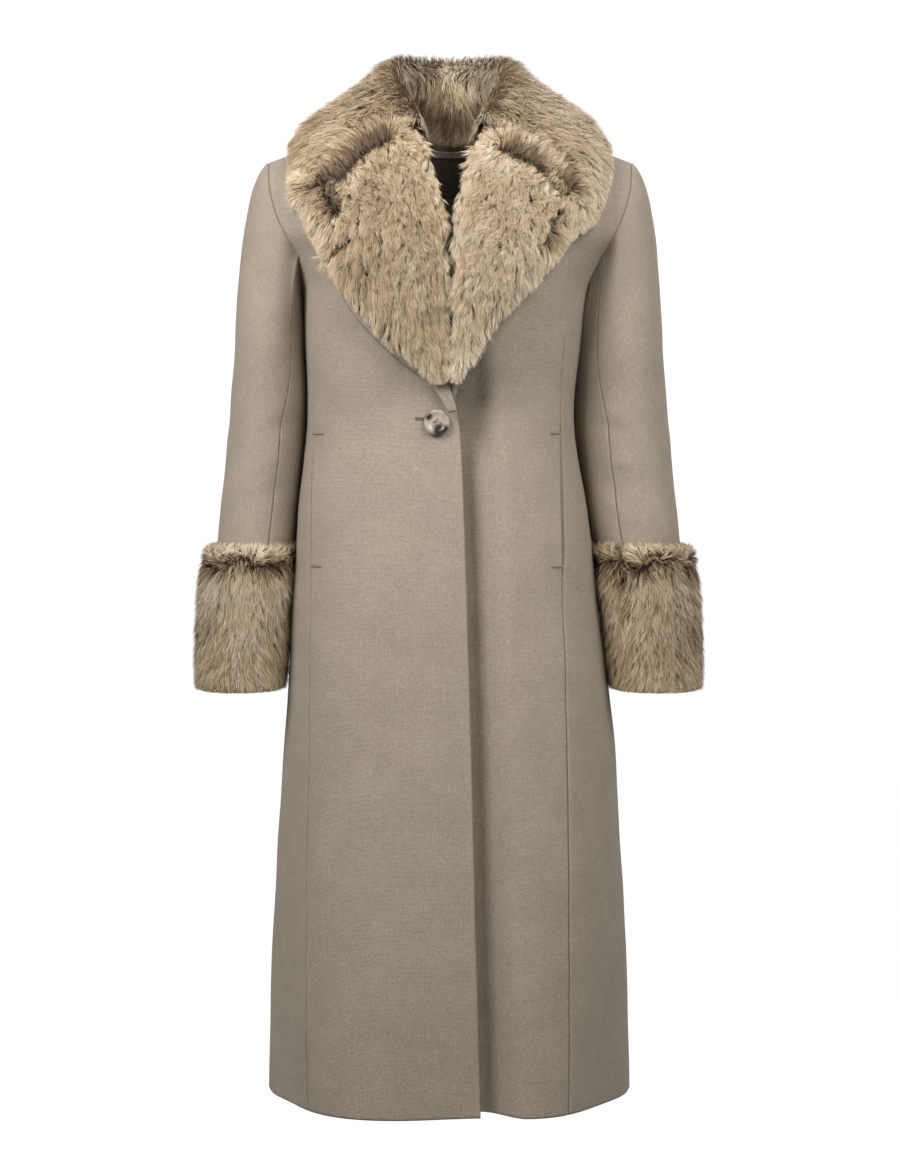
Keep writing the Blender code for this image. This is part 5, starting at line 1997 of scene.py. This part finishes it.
@dataclass(frozen=True)
class FurLapel(SubAssembly):
    """A fur lapel, from the gorge seam down to the break, on a revers of wool."""

    form: FurForm
    side: Side
    strands: int = 42000
    stations: int = 110
    positions: int = 60
    cut: Cut = Cut(0.166, 0.306, 0.029)
    rim: Ramp = Ramp(0.030, -0.014)
    roll_rim: Ramp = Ramp(0.022, -0.014)
    gorge_depth: Ramp = Ramp(0.012, -0.012)
    gorge_width: Ramp = Ramp(0.05, -0.02)
    tip: Ramp = Ramp(0.0, 0.16)
    fall: float = 0.75
    gorge_lift: float = 1.3
    rim_spread: float = 0.75
    roll_spread: float = 0.3
    in_rim: float = 0.3
    in_roll: float = 0.4
    rim_room: float = 0.004
    roll_room: float = 0.020
    middle_room: float = 0.03
    tip_room: float = 0.001
    tip_share: float = 0.9
    # Painted shade on the wearer's right lapel and painted light on the left one
    tone: Pair = Pair(-0.12, 0.16)
    border_light: float = 0.30
    patch_cell: float = 0.024
    patch_tone: float = 0.2
    underlap: float = 0.020
    revers_cut: Cut = Cut(0.165, 0.339, 0.030)
    revers_thickness: float = 0.002
    revers_gap: float = 0.0004
    revers_reach: Pair = Pair(0.010, 0.005)
    revers_from: float = 0.72
    lip_columns: int = 6
    break_end: Pair = Pair((0.0045, -0.1240, -0.337), (0.0, -0.1130, -0.332))
    break_width: float = 0.5
    break_rows: int = 14

    @property
    def last_knot(self) -> int:
        """The knot of the pile at the outer edge."""
        return len(self.form.lapel_pile) - 1

    def rows(self) -> Array:
        """The lapel's stations, from just under the collar's end to the break."""
        return np.linspace(self.form.gorge - self.underlap, 1, self.stations + 1)

    def ground(self) -> FurGround:
        """Lays out the fur, which falls towards the tip, and spreads and is paler along the rim and the roll.

        Returns:
            The fur.
        """
        station, place = self.rows(), np.linspace(0, self.last_knot, self.positions + 1)
        backing, reach = self.form.lapel(self.side, station, place)
        skin = backing + reach
        outward, down = along_grid(skin, 1), along_grid(skin, 0)
        across, along = run(skin, 1), run(skin, 0)
        to_edge, to_tip = across[:, -1:] - across, along[-1:] - along
        rim, roll = self.rim.at(to_edge), self.roll_rim.at(across)
        gorge = self.gorge_depth.at(along) * self.gorge_width.at(across)
        spread = (self.rim_spread * rim + self.roll_spread * roll) * self.tip.at(to_tip)
        lay = down * (self.fall - self.gorge_lift * gorge)[..., None] + outward * spread[..., None]
        patches = Wander(40 + self.side.value, self.patch_cell).at(across, along)
        tone = self.tone.on(self.side) + self.border_light * np.maximum(rim, roll) + self.patch_tone * patches
        room = np.where(rim > self.in_rim, to_edge + self.rim_room, self.middle_room)
        room = np.minimum(self.tip_share * to_tip + self.tip_room, room)
        room = np.where(roll > self.in_roll, np.minimum(room, self.roll_room), room)
        return FurGround(backing, reach, lay, room, tone).parted_round_neck(44 + self.side.value)

    def revers_points(self) -> Array:
        """Lays out the wool under the fur. By the break it goes a little past it, then narrows to an end.

        Returns:
            Its grid.
        """
        station, place = self.rows()[::2], np.linspace(0, self.last_knot, self.positions // 2 + 1)
        backing, _ = self.form.lapel(self.side, station, place)
        outward = unit(backing[:, -1] - backing[:, -2])
        toward_tip = smoothstep((station - self.revers_from) / (self.form.tip_from - self.revers_from))
        past = self.revers_gap + self.revers_reach.on(self.side) * toward_tip
        steps = np.linspace(0, 1, self.lip_columns + 1)[1:]
        lip = backing[:, -1:] + outward[:, None] * (past[:, None] * steps)[..., None]
        points = np.concatenate([backing, lip], axis=1)
        points = points + grid_normals(points) * self.side.value * self.revers_gap
        last = points[-1:]
        end = self.break_end.on(self.side) + (last - last.mean(axis=1)) * self.break_width
        down = np.linspace(0, 1, self.break_rows + 1)[1:, None, None]
        return np.concatenate([points, last + (end - last) * down])

    def build(self, finishes: Finishes) -> None:
        """Builds the lapel and its revers."""
        word = self.side.word
        Cloth(
            part=f"revers_{word}",
            points=self.revers_points(),
            cut=self.revers_cut,
            thickness=self.revers_thickness,
            flip=self.side is Side.LEFT,
            edges=Ends(last_column=Edge.TURNED, last_row=Edge.TURNED),
            held=Held.FOLDED,
            rests_on=(f"front_{word}_wool",),
        ).build(finishes.wool)
        FurPiece(
            name=f"lapel_{word}",
            ground=self.ground(),
            pile=Pile(f"lapel_{word}_fur", self.strands, 50 + self.side.value),
            cut=self.cut,
            flip=self.side is Side.LEFT,
            rests_on=(f"revers_{word}_wool",),
        ).build(finishes)


@dataclass(frozen=True)
class FurCuff(SubAssembly):
    """A turned-back cuff: a tube of fur round the sleeve's end, pressed flatter on the side of the body."""

    sleeve: Sleeve
    strands: int = 42000
    pile: float = 0.020
    # How far the pile stands out on the side of the body, at the top and at the bottom
    by_body: Pair = Pair((0.0105, 0.0185), (0.0125, 0.0200))
    by_body_power: float = 1.5
    radius: float = 0.055
    rows: int = 56
    columns: int = 132
    lowest: float = -0.649
    flip_depth: float = 0.019
    flip_waver: float = 0.005
    flip: Ramp = Ramp(0.0, -0.009)
    in_flip: float = 0.5
    flip_room: float = 0.016
    flip_lift: float = 1.65
    flip_light: float = 0.22
    lean: float = 0.08
    parting_roots: float = 0.0070
    parting_dip: float = 0.05
    parting_spread: float = 0.009
    line_share: float = 1.1
    line_wander: float = 0.4
    # How far the fur parts: the middle, and how much that changes with the waver and beside the body
    strength: tuple[float, float, float] = (0.42, 0.45, 0.35)
    least_strength: float = 0.1
    cloud: float = 0.03
    cloud_tone: float = 0.16
    waver_cell: float = 0.011
    # Painted light: the wearer's right cuff is made lighter than the left
    tone: Pair = Pair(0.16, 0.0)
    seam_turn: float = 122
    seam_end: float = 0.070
    seam_waver: float = 0.006
    seam_cell: float = 0.02
    cut: Cut = Cut(0.350, 0.171, 0.053)

    def ground(self) -> FurGround:
        """Lays out the cuff's fur, which flips up along the top, parts below that and hangs down to the end.

        Returns:
            The fur.
        """
        top, bottom = CUFF_ROWS[0].height, CUFF_ROWS[-1].height
        turns, heights = np.linspace(0, 360, self.columns + 1), np.linspace(top, bottom, self.rows + 1)
        turn, height = np.meshgrid(turns, heights)
        at_top, at_bottom = self.by_body.on(self.sleeve.side)
        pressed = at_top + (at_bottom - at_top) * (top - height) / (top - bottom)
        inward = np.clip(-np.cos(np.radians(turn)), 0, 1) ** self.by_body_power
        pile = read(CUFF_ROWS, "pile", height) * (self.pile + (pressed - self.pile) * inward)
        backing = self.sleeve.ring(turn, height, self.sleeve.gap)
        reach = self.sleeve.ring(turn, height, self.sleeve.gap + pile) - backing
        round_wrist, down = along_grid(backing + reach, 1), along_grid(backing + reach, 0)
        across, deep = (way(np.radians(turn)) * self.radius for way in (np.sin, np.cos))
        seed = 60 + self.sleeve.side.value
        cloud = tube_wander((seed, seed + 5), (self.cloud, self.cloud), across, deep, height)
        waver = Wander(seed + 7, self.waver_cell).at(across, deep)
        from_top = top - height
        below = from_top - self.flip_depth - self.flip_waver * waver
        flipped = self.flip.at(below)
        lay = down * (1 - self.flip_lift * flipped)[..., None] + round_wrist * self.lean
        tone = self.tone.on(self.sleeve.side) + self.flip_light * flipped + self.cloud_tone * cloud
        room = np.where(flipped > self.in_flip, self.flip_room, height - self.lowest)
        off, distance = down * np.sign(below)[..., None], np.abs(below)
        if self.sleeve.side is Side.LEFT:
            from_seam = np.radians(turn - self.seam_turn) * self.radius
            from_seam = from_seam + self.seam_waver * Wander(seed + 9, self.seam_cell).at(height, across)
            beside = np.hypot(from_seam, np.clip(from_top - self.seam_end, 0, None))
            nearer = (beside < distance)[..., None]
            off = np.where(nearer, round_wrist * np.sign(from_seam)[..., None], off)
            distance = np.minimum(beside, distance)
        distance = distance * (self.line_share + self.line_wander * waver)
        share, by_waver, by_body = self.strength
        strength = np.clip(share + by_waver * waver + by_body * inward, self.least_strength, 1)
        fur = FurGround(backing, reach, lay, room, tone, self.parting_roots, self.parting_dip)
        return fur.parted(off, distance, strength, self.parting_spread)

    def build(self, finishes: Finishes) -> None:
        """Builds the cuff."""
        word = self.sleeve.side.word
        seed = 70 + self.sleeve.side.value
        FurPiece(
            name=f"cuff_{word}",
            ground=self.ground(),
            pile=Pile(f"cuff_{word}_fur", self.strands, seed, gather=0.6, stray=0.5, swirl=0.3, mottle=0.4),
            cut=self.cut,
            flip=self.sleeve.side is Side.RIGHT,
            closed=True,
            rests_on=(f"upper_sleeve_{word}_wool", f"under_sleeve_{word}_wool"),
        ).build(finishes)


def thread_piece(name: str, paths: Sequence[Array], radius: float, material: Material) -> Piece:
    """Sews a piece of thread.

    Args:
        name: The piece's name.
        paths: The points that each stitch follows.
        radius: The thread's radius.
        material: Its finish.

    Returns:
        The piece, all its stitches in one mesh.
    """
    curve = bpy.data.curves.new(name, "CURVE")
    curve.dimensions = "3D"
    curve.bevel_depth = radius
    curve.bevel_resolution = 1
    curve.use_fill_caps = True
    for path in paths:
        spline = curve.splines.new("POLY")
        spline.points.add(len(path) - 1)
        spline.points.foreach_set("co", np.concatenate([path, np.ones((len(path), 1))], axis=1).ravel())
    mesh = taken_from(add_object(f"{name}_guide", curve))
    mesh.name = name
    mesh.materials.clear()
    return add_piece(name, mesh, material, Slot.WOOL)


@dataclass(frozen=True)
class Pocket(SubAssembly):
    """A pocket let into the front seam: a narrow welt along its mouth, and a bar of stitches at each end."""

    body: Body
    side: Side
    width: float = 0.011
    lift: float = -0.0003
    edge_lift: Pair = Pair(0.0004, 0.0007)
    rows: int = 60
    columns: int = 8
    thickness: float = 0.0012
    tack_past: float = 0.00225
    tack_points: int = 7
    tack_stitches: int = 5
    tack_radius: float = 0.00042
    tack_spread: float = 1.4
    tack_lift: float = 0.0004
    cut: Cut = Cut(0.021, 0.150, 0.0025)

    def place(self, inward: Array, height: Array, offset: Array | float) -> Array:
        """Finds points over the front beside the seam.

        Args:
            inward: Distances in from the seam.
            height: Heights.
            offset: How far out from the front.

        Returns:
            Points, along a last axis of three.
        """
        torso = self.body.torso
        x = torso.seam_x(self.side, height) - self.side.value * (inward - self.body.seam_lap)
        return torso.layer(torso.front_angle(x, height), height, offset)

    def build(self, finishes: Finishes) -> None:
        """Builds the welt and its bars."""
        word = self.side.word
        height = np.linspace(self.body.pocket_bottom, self.body.pocket_top, self.rows + 1)[:, None]
        inward = np.linspace(self.width, 0, self.columns + 1)[None, :]
        inward, height = np.broadcast_arrays(inward, height)
        edge_lift = self.edge_lift.on(self.side)
        proud = self.lift + (edge_lift - self.lift) * smoothstep(1 - inward / self.width)
        bars = thread_piece(
            f"pocket_{word}_bars",
            [path for end in (self.body.pocket_top, self.body.pocket_bottom) for path in self.bar(end)],
            self.tack_radius,
            finishes.thread,
        )
        Cloth(
            part=f"pocket_welt_{word}",
            points=self.place(inward, height, proud),
            cut=self.cut,
            thickness=self.thickness,
            flip=self.side is Side.RIGHT,
            edges=Ends(last_column=Edge.TURNED),
            held=Held.LAID,
            rests_on=(f"front_{word}_wool",),
        ).build(finishes.wool, [bars])

    def bar(self, end: float) -> list[Array]:
        """Sews the stitches across one end of the mouth.

        Args:
            end: The height of that end.

        Returns:
            The points that each stitch follows.
        """
        inward = np.linspace(0.0, self.width + self.tack_past, self.tack_points)
        spread = np.linspace(-1, 1, self.tack_stitches) * self.tack_radius * self.tack_spread
        lift = self.edge_lift.on(self.side) + self.tack_lift
        return [self.place(inward, np.full_like(inward, end + shift), lift) for shift in spread]


@dataclass(frozen=True)
class Button(SubAssembly):
    """A turned four-hole button of horn with its thread, over a worked buttonhole in the right front."""

    torso: Torso
    x: float = -0.0143
    z: float = -0.348
    radius: float = 0.0142
    thickness: float = 0.0044
    lift: float = 0.0022
    spin: float = 38
    hole_radius: float = 0.0011
    hole_circle: float = 0.0032
    steps: int = 72
    hole_turns: tuple[int, ...] = (45, 135, 225, 315)
    hole_sides: int = 20
    drill_depth: float = 0.0132
    face_height: float = 0.00352
    sharp: float = 40
    thread_radius: float = 0.00045
    thread_lanes: tuple[float, ...] = (-1.6, 0.0, 1.6)
    # Half of a turn of thread, from its hole: shares of the way out and of the thickness, and a lift
    thread_line: tuple[tuple[float, float, float], ...] = (
        (1, 0.2, 0),
        (0.9, 0.62, 0.00045),
        (0, 0.62, 0.00075),
    )
    hole_start: float = -0.0375
    hole_end: float = -0.0060
    hole_rise: float = 0.0045
    stitch: float = 0.0019
    stitch_pitch: float = 0.00095
    stitch_radius: float = 0.00038
    # How far a stitch stands out along its four points, from the slit outwards
    stitch_lifts: tuple[float, ...] = (0.0004, 0.0008, 0.0006, -0.0003)
    slit_half: float = 0.0004
    slit_past: float = 0.001
    slit_lift: float = 0.0002
    slit_points: int = 12
    profile: tuple[tuple[float, float], ...] = (
        (0.0, 0.60), (0.30, 0.60), (0.46, 0.63), (0.60, 0.76), (0.70, 0.91), (0.80, 0.99),
        (0.88, 0.97), (0.95, 0.86), (0.99, 0.70), (1.0, 0.56), (0.985, 0.36), (0.93, 0.16),
        (0.82, 0.05), (0.70, 0.0), (0.0, 0.0),
    )

    def frame(self) -> tuple[Vector, Quaternion]:
        """Finds the button's place on the front.

        Returns:
            Its seat, and its turn.
        """
        angle = self.torso.front_angle(self.x, self.z)
        normal = Vector(self.torso.normals(angle, self.z))
        seat = Vector(self.torso.points(angle, self.z)) + normal * self.lift
        spin = Quaternion((0, 0, 1), math.radians(self.spin))
        return seat, normal.to_track_quat("Z", "Y") @ spin

    def disc(self) -> bpy.types.Mesh:
        """Turns the disc and drills its holes.

        Returns:
            Its mesh, in place.
        """
        bm = bmesh.new()
        verts = [bm.verts.new((r * self.radius, 0, h * self.thickness)) for r, h in self.profile]
        edges = [bm.edges.new(pair) for pair in zip(verts, verts[1:])]
        whole_turn = {"angle": 2 * math.pi, "steps": self.steps, "use_merge": True}
        bmesh.ops.spin(bm, geom=verts + edges, cent=(0, 0, 0), axis=(0, 0, 1), **whole_turn)
        bmesh.ops.remove_doubles(bm, verts=bm.verts, dist=MERGE)
        bmesh.ops.recalc_face_normals(bm, faces=bm.faces)
        whole = add_object("button_blank", bpy.data.meshes.new("button_blank"))
        bm.to_mesh(whole.data)
        bm.clear()
        drill = {"radius1": self.hole_radius, "radius2": self.hole_radius, "depth": self.drill_depth}
        for turn in self.hole_turns:
            made = bmesh.ops.create_cone(bm, cap_ends=True, segments=self.hole_sides, **drill)
            across = [self.hole_circle * way(math.radians(turn)) for way in (math.cos, math.sin)]
            bmesh.ops.translate(bm, verts=made["verts"], vec=(*across, self.thickness / 2))
        drills = add_object("button_drills", bpy.data.meshes.new("button_drills"))
        bm.to_mesh(drills.data)
        bm.free()
        holes = whole.modifiers.new("holes", "BOOLEAN")
        holes.operation = "DIFFERENCE"
        holes.object = drills
        mesh = taken_from(whole, drills)
        seat, turn = self.frame()
        mesh.transform(Matrix.LocRotScale(seat, turn, None))
        mesh.set_sharp_from_angle(angle=math.radians(self.sharp))
        return mesh

    def thread_paths(self) -> list[Array]:
        """Sews the button on, with two bars of three turns between the holes.

        Returns:
            The points that each turn follows.
        """
        seat, turn = self.frame()
        paths = []
        reach = self.hole_circle * math.sqrt(0.5)
        half = [(-reach * out, self.thickness * share + lift) for out, share, lift in self.thread_line]
        line = half + [(-x, z) for x, z in reversed(half[:-1])]
        for up in (-reach, reach):
            for shift in self.thread_lanes:
                lane = up + shift * self.thread_radius
                paths.append(np.array([seat + turn @ Vector((x, lane, z)) for x, z in line]))
        return paths

    def buttonhole_paths(self) -> list[Array]:
        """Works the buttonhole's edge, with a row of stitches on each side of the slit.

        Returns:
            The points that each stitch follows.
        """
        paths = []
        count = round((self.hole_end - self.hole_start) / self.stitch_pitch)
        for x in np.linspace(self.hole_start, self.hole_end, count):
            for way in (-1, 1):
                points = np.linspace(self.slit_half, self.stitch, len(self.stitch_lifts))
                height = self.z + self.hole_rise + way * points
                line = self.torso.front_layer(Side.RIGHT, np.full_like(height, x), height)
                paths.append(line - np.outer(self.stitch_lifts, (0, 1, 0)))
        return paths

    def slit_path(self) -> Array:
        """Lays the dark gimp into the buttonhole's slit.

        Returns:
            The points that it follows.
        """
        # The gimp is dark to paint the shade in the slit
        x = np.linspace(self.hole_start - self.slit_past, self.hole_end, self.slit_points)
        height = np.full_like(x, self.z + self.hole_rise)
        return self.torso.front_layer(Side.RIGHT, x, height, self.slit_lift)

    def build(self, finishes: Finishes) -> None:
        """Builds the button, its thread and the buttonhole."""
        seat, turn = self.frame()
        face = seat + turn @ Vector((0, 0, self.face_height))
        add_piece("button_horn", self.disc(), Horn("polished_horn", face).material(), Slot.HORN, "button")
        thread_piece("button_thread", self.thread_paths(), self.thread_radius, finishes.thread)
        thread_piece("buttonhole_stitches", self.buttonhole_paths(), self.stitch_radius, finishes.thread)
        # A gimp cord whose dark paints the shade in the buttonhole's slit
        thread_piece("buttonhole_painted_shade_gimp", [self.slit_path()], 2 * self.stitch_radius, finishes.painted_shade_gimp)


class Strip(NamedTuple):
    """A strip across the back of the neck, whose top sags at the centre: half its width, and its heights."""

    half: float
    top: float
    bottom: float
    sag: float


@dataclass(frozen=True)
class NeckLabel(SubAssembly):
    """The facing inside the back of the neck, the maker's bare label on it and a tape along its top."""

    torso: Torso
    wool: float = 0.0022
    gap: float = 0.0004
    facing: float = 0.0012
    label: float = 0.0008
    tape: float = 0.0008
    tape_depth: float = 0.0012
    columns: int = 32
    rows: int = 20
    facing_strip: Strip = Strip(0.0607, -0.0165, -0.100, 0.009)
    label_strip: Strip = Strip(0.032, -0.0275, -0.077, 0.002)
    tape_strip: Strip = Strip(0.0215, -0.0235, -0.0300, 0.001)
    facing_cut: Cut = Cut(0.143, 0.118, 0.0124)
    label_cut: Cut = Cut(0.067, 0.062, 0.0037)
    tape_cut: Cut = Cut(0.045, 0.010, 0.0004)

    def points(self, strip: Strip, depth: float) -> Array:
        """Lays a strip inside the back.

        Args:
            strip: Its sizes.
            depth: How far in from the coat's surface it lies.

        Returns:
            Its grid, which looks into the neck.
        """
        x = np.linspace(-strip.half, strip.half, self.columns + 1)[None, :]
        share = np.linspace(0, 1, self.rows + 1)[:, None]
        lifted = strip.top + strip.sag * (x / strip.half) ** 2
        z = strip.bottom + (lifted - strip.bottom) * share
        x = np.broadcast_to(x, z.shape)
        return self.torso.layer(math.pi - self.torso.front_angle(x, z), z, -depth)

    def build(self, finishes: Finishes) -> None:
        """Builds the facing, the label and the tape."""
        depth = self.wool + self.gap + self.facing
        Cloth(
            part="neck_facing",
            points=self.points(self.facing_strip, depth),
            cut=self.facing_cut,
            thickness=self.facing,
            held=Held.LAID,
            rests_on=("back_wool",),
        ).build(finishes.wool)
        depth = depth + self.gap + self.label
        Cloth(
            part="label",
            points=self.points(self.label_strip, depth),
            cut=self.label_cut,
            stuff="satin",
            slot=Slot.LABEL,
            thickness=self.label,
            edges=Ends(*[Edge.TURNED] * 4),
            held=Held.LAID,
            rests_on=("neck_facing_wool",),
        ).build(finishes.label)
        Cloth(
            part="label",
            points=self.points(self.tape_strip, depth + self.tape_depth),
            cut=self.tape_cut,
            stuff="tape",
            replaces=False,
            thickness=self.tape,
            held=Held.LAID,
            rests_on=("label_satin",),
        ).build(finishes.tape)


class Lamp(NamedTuple):
    """A square area light: where it stands, its side and its power."""

    name: str
    place: tuple[float, float, float]
    size: float
    watts: float


@dataclass(frozen=True)
class Studio:
    """A pale floor at the wearer's feet, soft light from the upper left, and the camera at chest height."""

    floor_height: float = -1.47
    floor_radius: float = 6.0
    floor_sides: int = 96
    camera_place: tuple[float, float, float] = (0.0, -2.6, -0.41)
    camera_aim: tuple[float, float, float] = (0.0, 0.0, -0.535)
    lens: float = 69.3
    light_aim: tuple[float, float, float] = (0.0, 0.0, -0.20)
    light_spread: float = 130
    lamps: tuple[Lamp, ...] = (
        Lamp("key", (-1.10, -1.25, 0.80), 0.9, 22),
        Lamp("fill", (1.00, -1.40, 0.75), 1.2, 18),
        Lamp("rim", (0.6, 2.2, 0.9), 1.6, 22),
    )
    backdrop: str = "#ffffff"
    backdrop_strength: float = 1.05
    ambient: float = 0.21

    def floor(self) -> None:
        """A wide round floor."""
        mesh = bpy.data.meshes.new("floor")
        bm = bmesh.new()
        bmesh.ops.create_circle(bm, cap_ends=True, segments=self.floor_sides, radius=self.floor_radius)
        bmesh.ops.translate(bm, verts=bm.verts, vec=(0, 0, self.floor_height))
        bm.to_mesh(mesh)
        bm.free()
        floor = add_object("floor", mesh)
        mesh.materials.append(MattPaper().material())
        floor.visible_diffuse = False

    def aimed(self, data: bpy.types.ID, place: Sequence[float], aim: Sequence[float]) -> Piece:
        """Stands a lamp or the camera in its place.

        Args:
            data: The lamp's or the camera's own data.
            place: Where it stands.
            aim: What it looks at.

        Returns:
            The object.
        """
        stand = add_object(data.name, data)
        stand.location = place
        stand.rotation_euler = (Vector(aim) - Vector(place)).to_track_quat("-Z", "Y").to_euler()
        return stand

    def light(self, lamp: Lamp) -> None:
        """Lights a lamp that looks at the chest.

        Args:
            lamp: The lamp.
        """
        data = bpy.data.lights.new(lamp.name, "AREA")
        data.size = lamp.size
        data.energy = lamp.watts
        data.spread = math.radians(self.light_spread)
        self.aimed(data, lamp.place, self.light_aim)

    def build(self) -> None:
        """Sets the floor, the lights, the world and the camera."""
        self.floor()
        for lamp in self.lamps:
            self.light(lamp)
        world = bpy.data.worlds.new("white_studio")
        world.use_nodes = True
        tree = world.node_tree
        shade = tree.nodes["Background"]
        seen = add_node(tree, "LightPath", {}, "Is Camera Ray")
        strengths = {"Value": seen, "To Min": self.ambient, "To Max": self.backdrop_strength}
        strength = add_node(tree, "MapRange", strengths)
        feed(tree, shade, {"Color": linear(self.backdrop), "Strength": strength})
        scene = bpy.context.scene
        scene.world = world
        scene.view_settings.view_transform = "Standard"
        data = bpy.data.cameras.new("camera")
        data.lens = self.lens
        scene.camera = self.aimed(data, self.camera_place, self.camera_aim)


def main() -> None:
    """Builds the coat on its frame."""
    logging.basicConfig(level=logging.INFO, format="%(name)s: %(message)s")
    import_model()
    Studio().build()
    finishes = Finishes()
    torso = Torso()
    body = Body(torso)
    NeckLabel(torso).build(finishes)
    body.build(finishes)
    form = FurForm(torso)
    for side in Side:
        sleeve = Sleeve(torso, side)
        sleeve.build(finishes)
        FurCuff(sleeve).build(finishes)
        FurLapel(form, side).build(finishes)
        Pocket(body, side).build(finishes)
    FurCollar(form).build(finishes)
    Button(torso).build(finishes)
    bpy.context.view_layer.update()


if __name__ == "__main__":
    main()
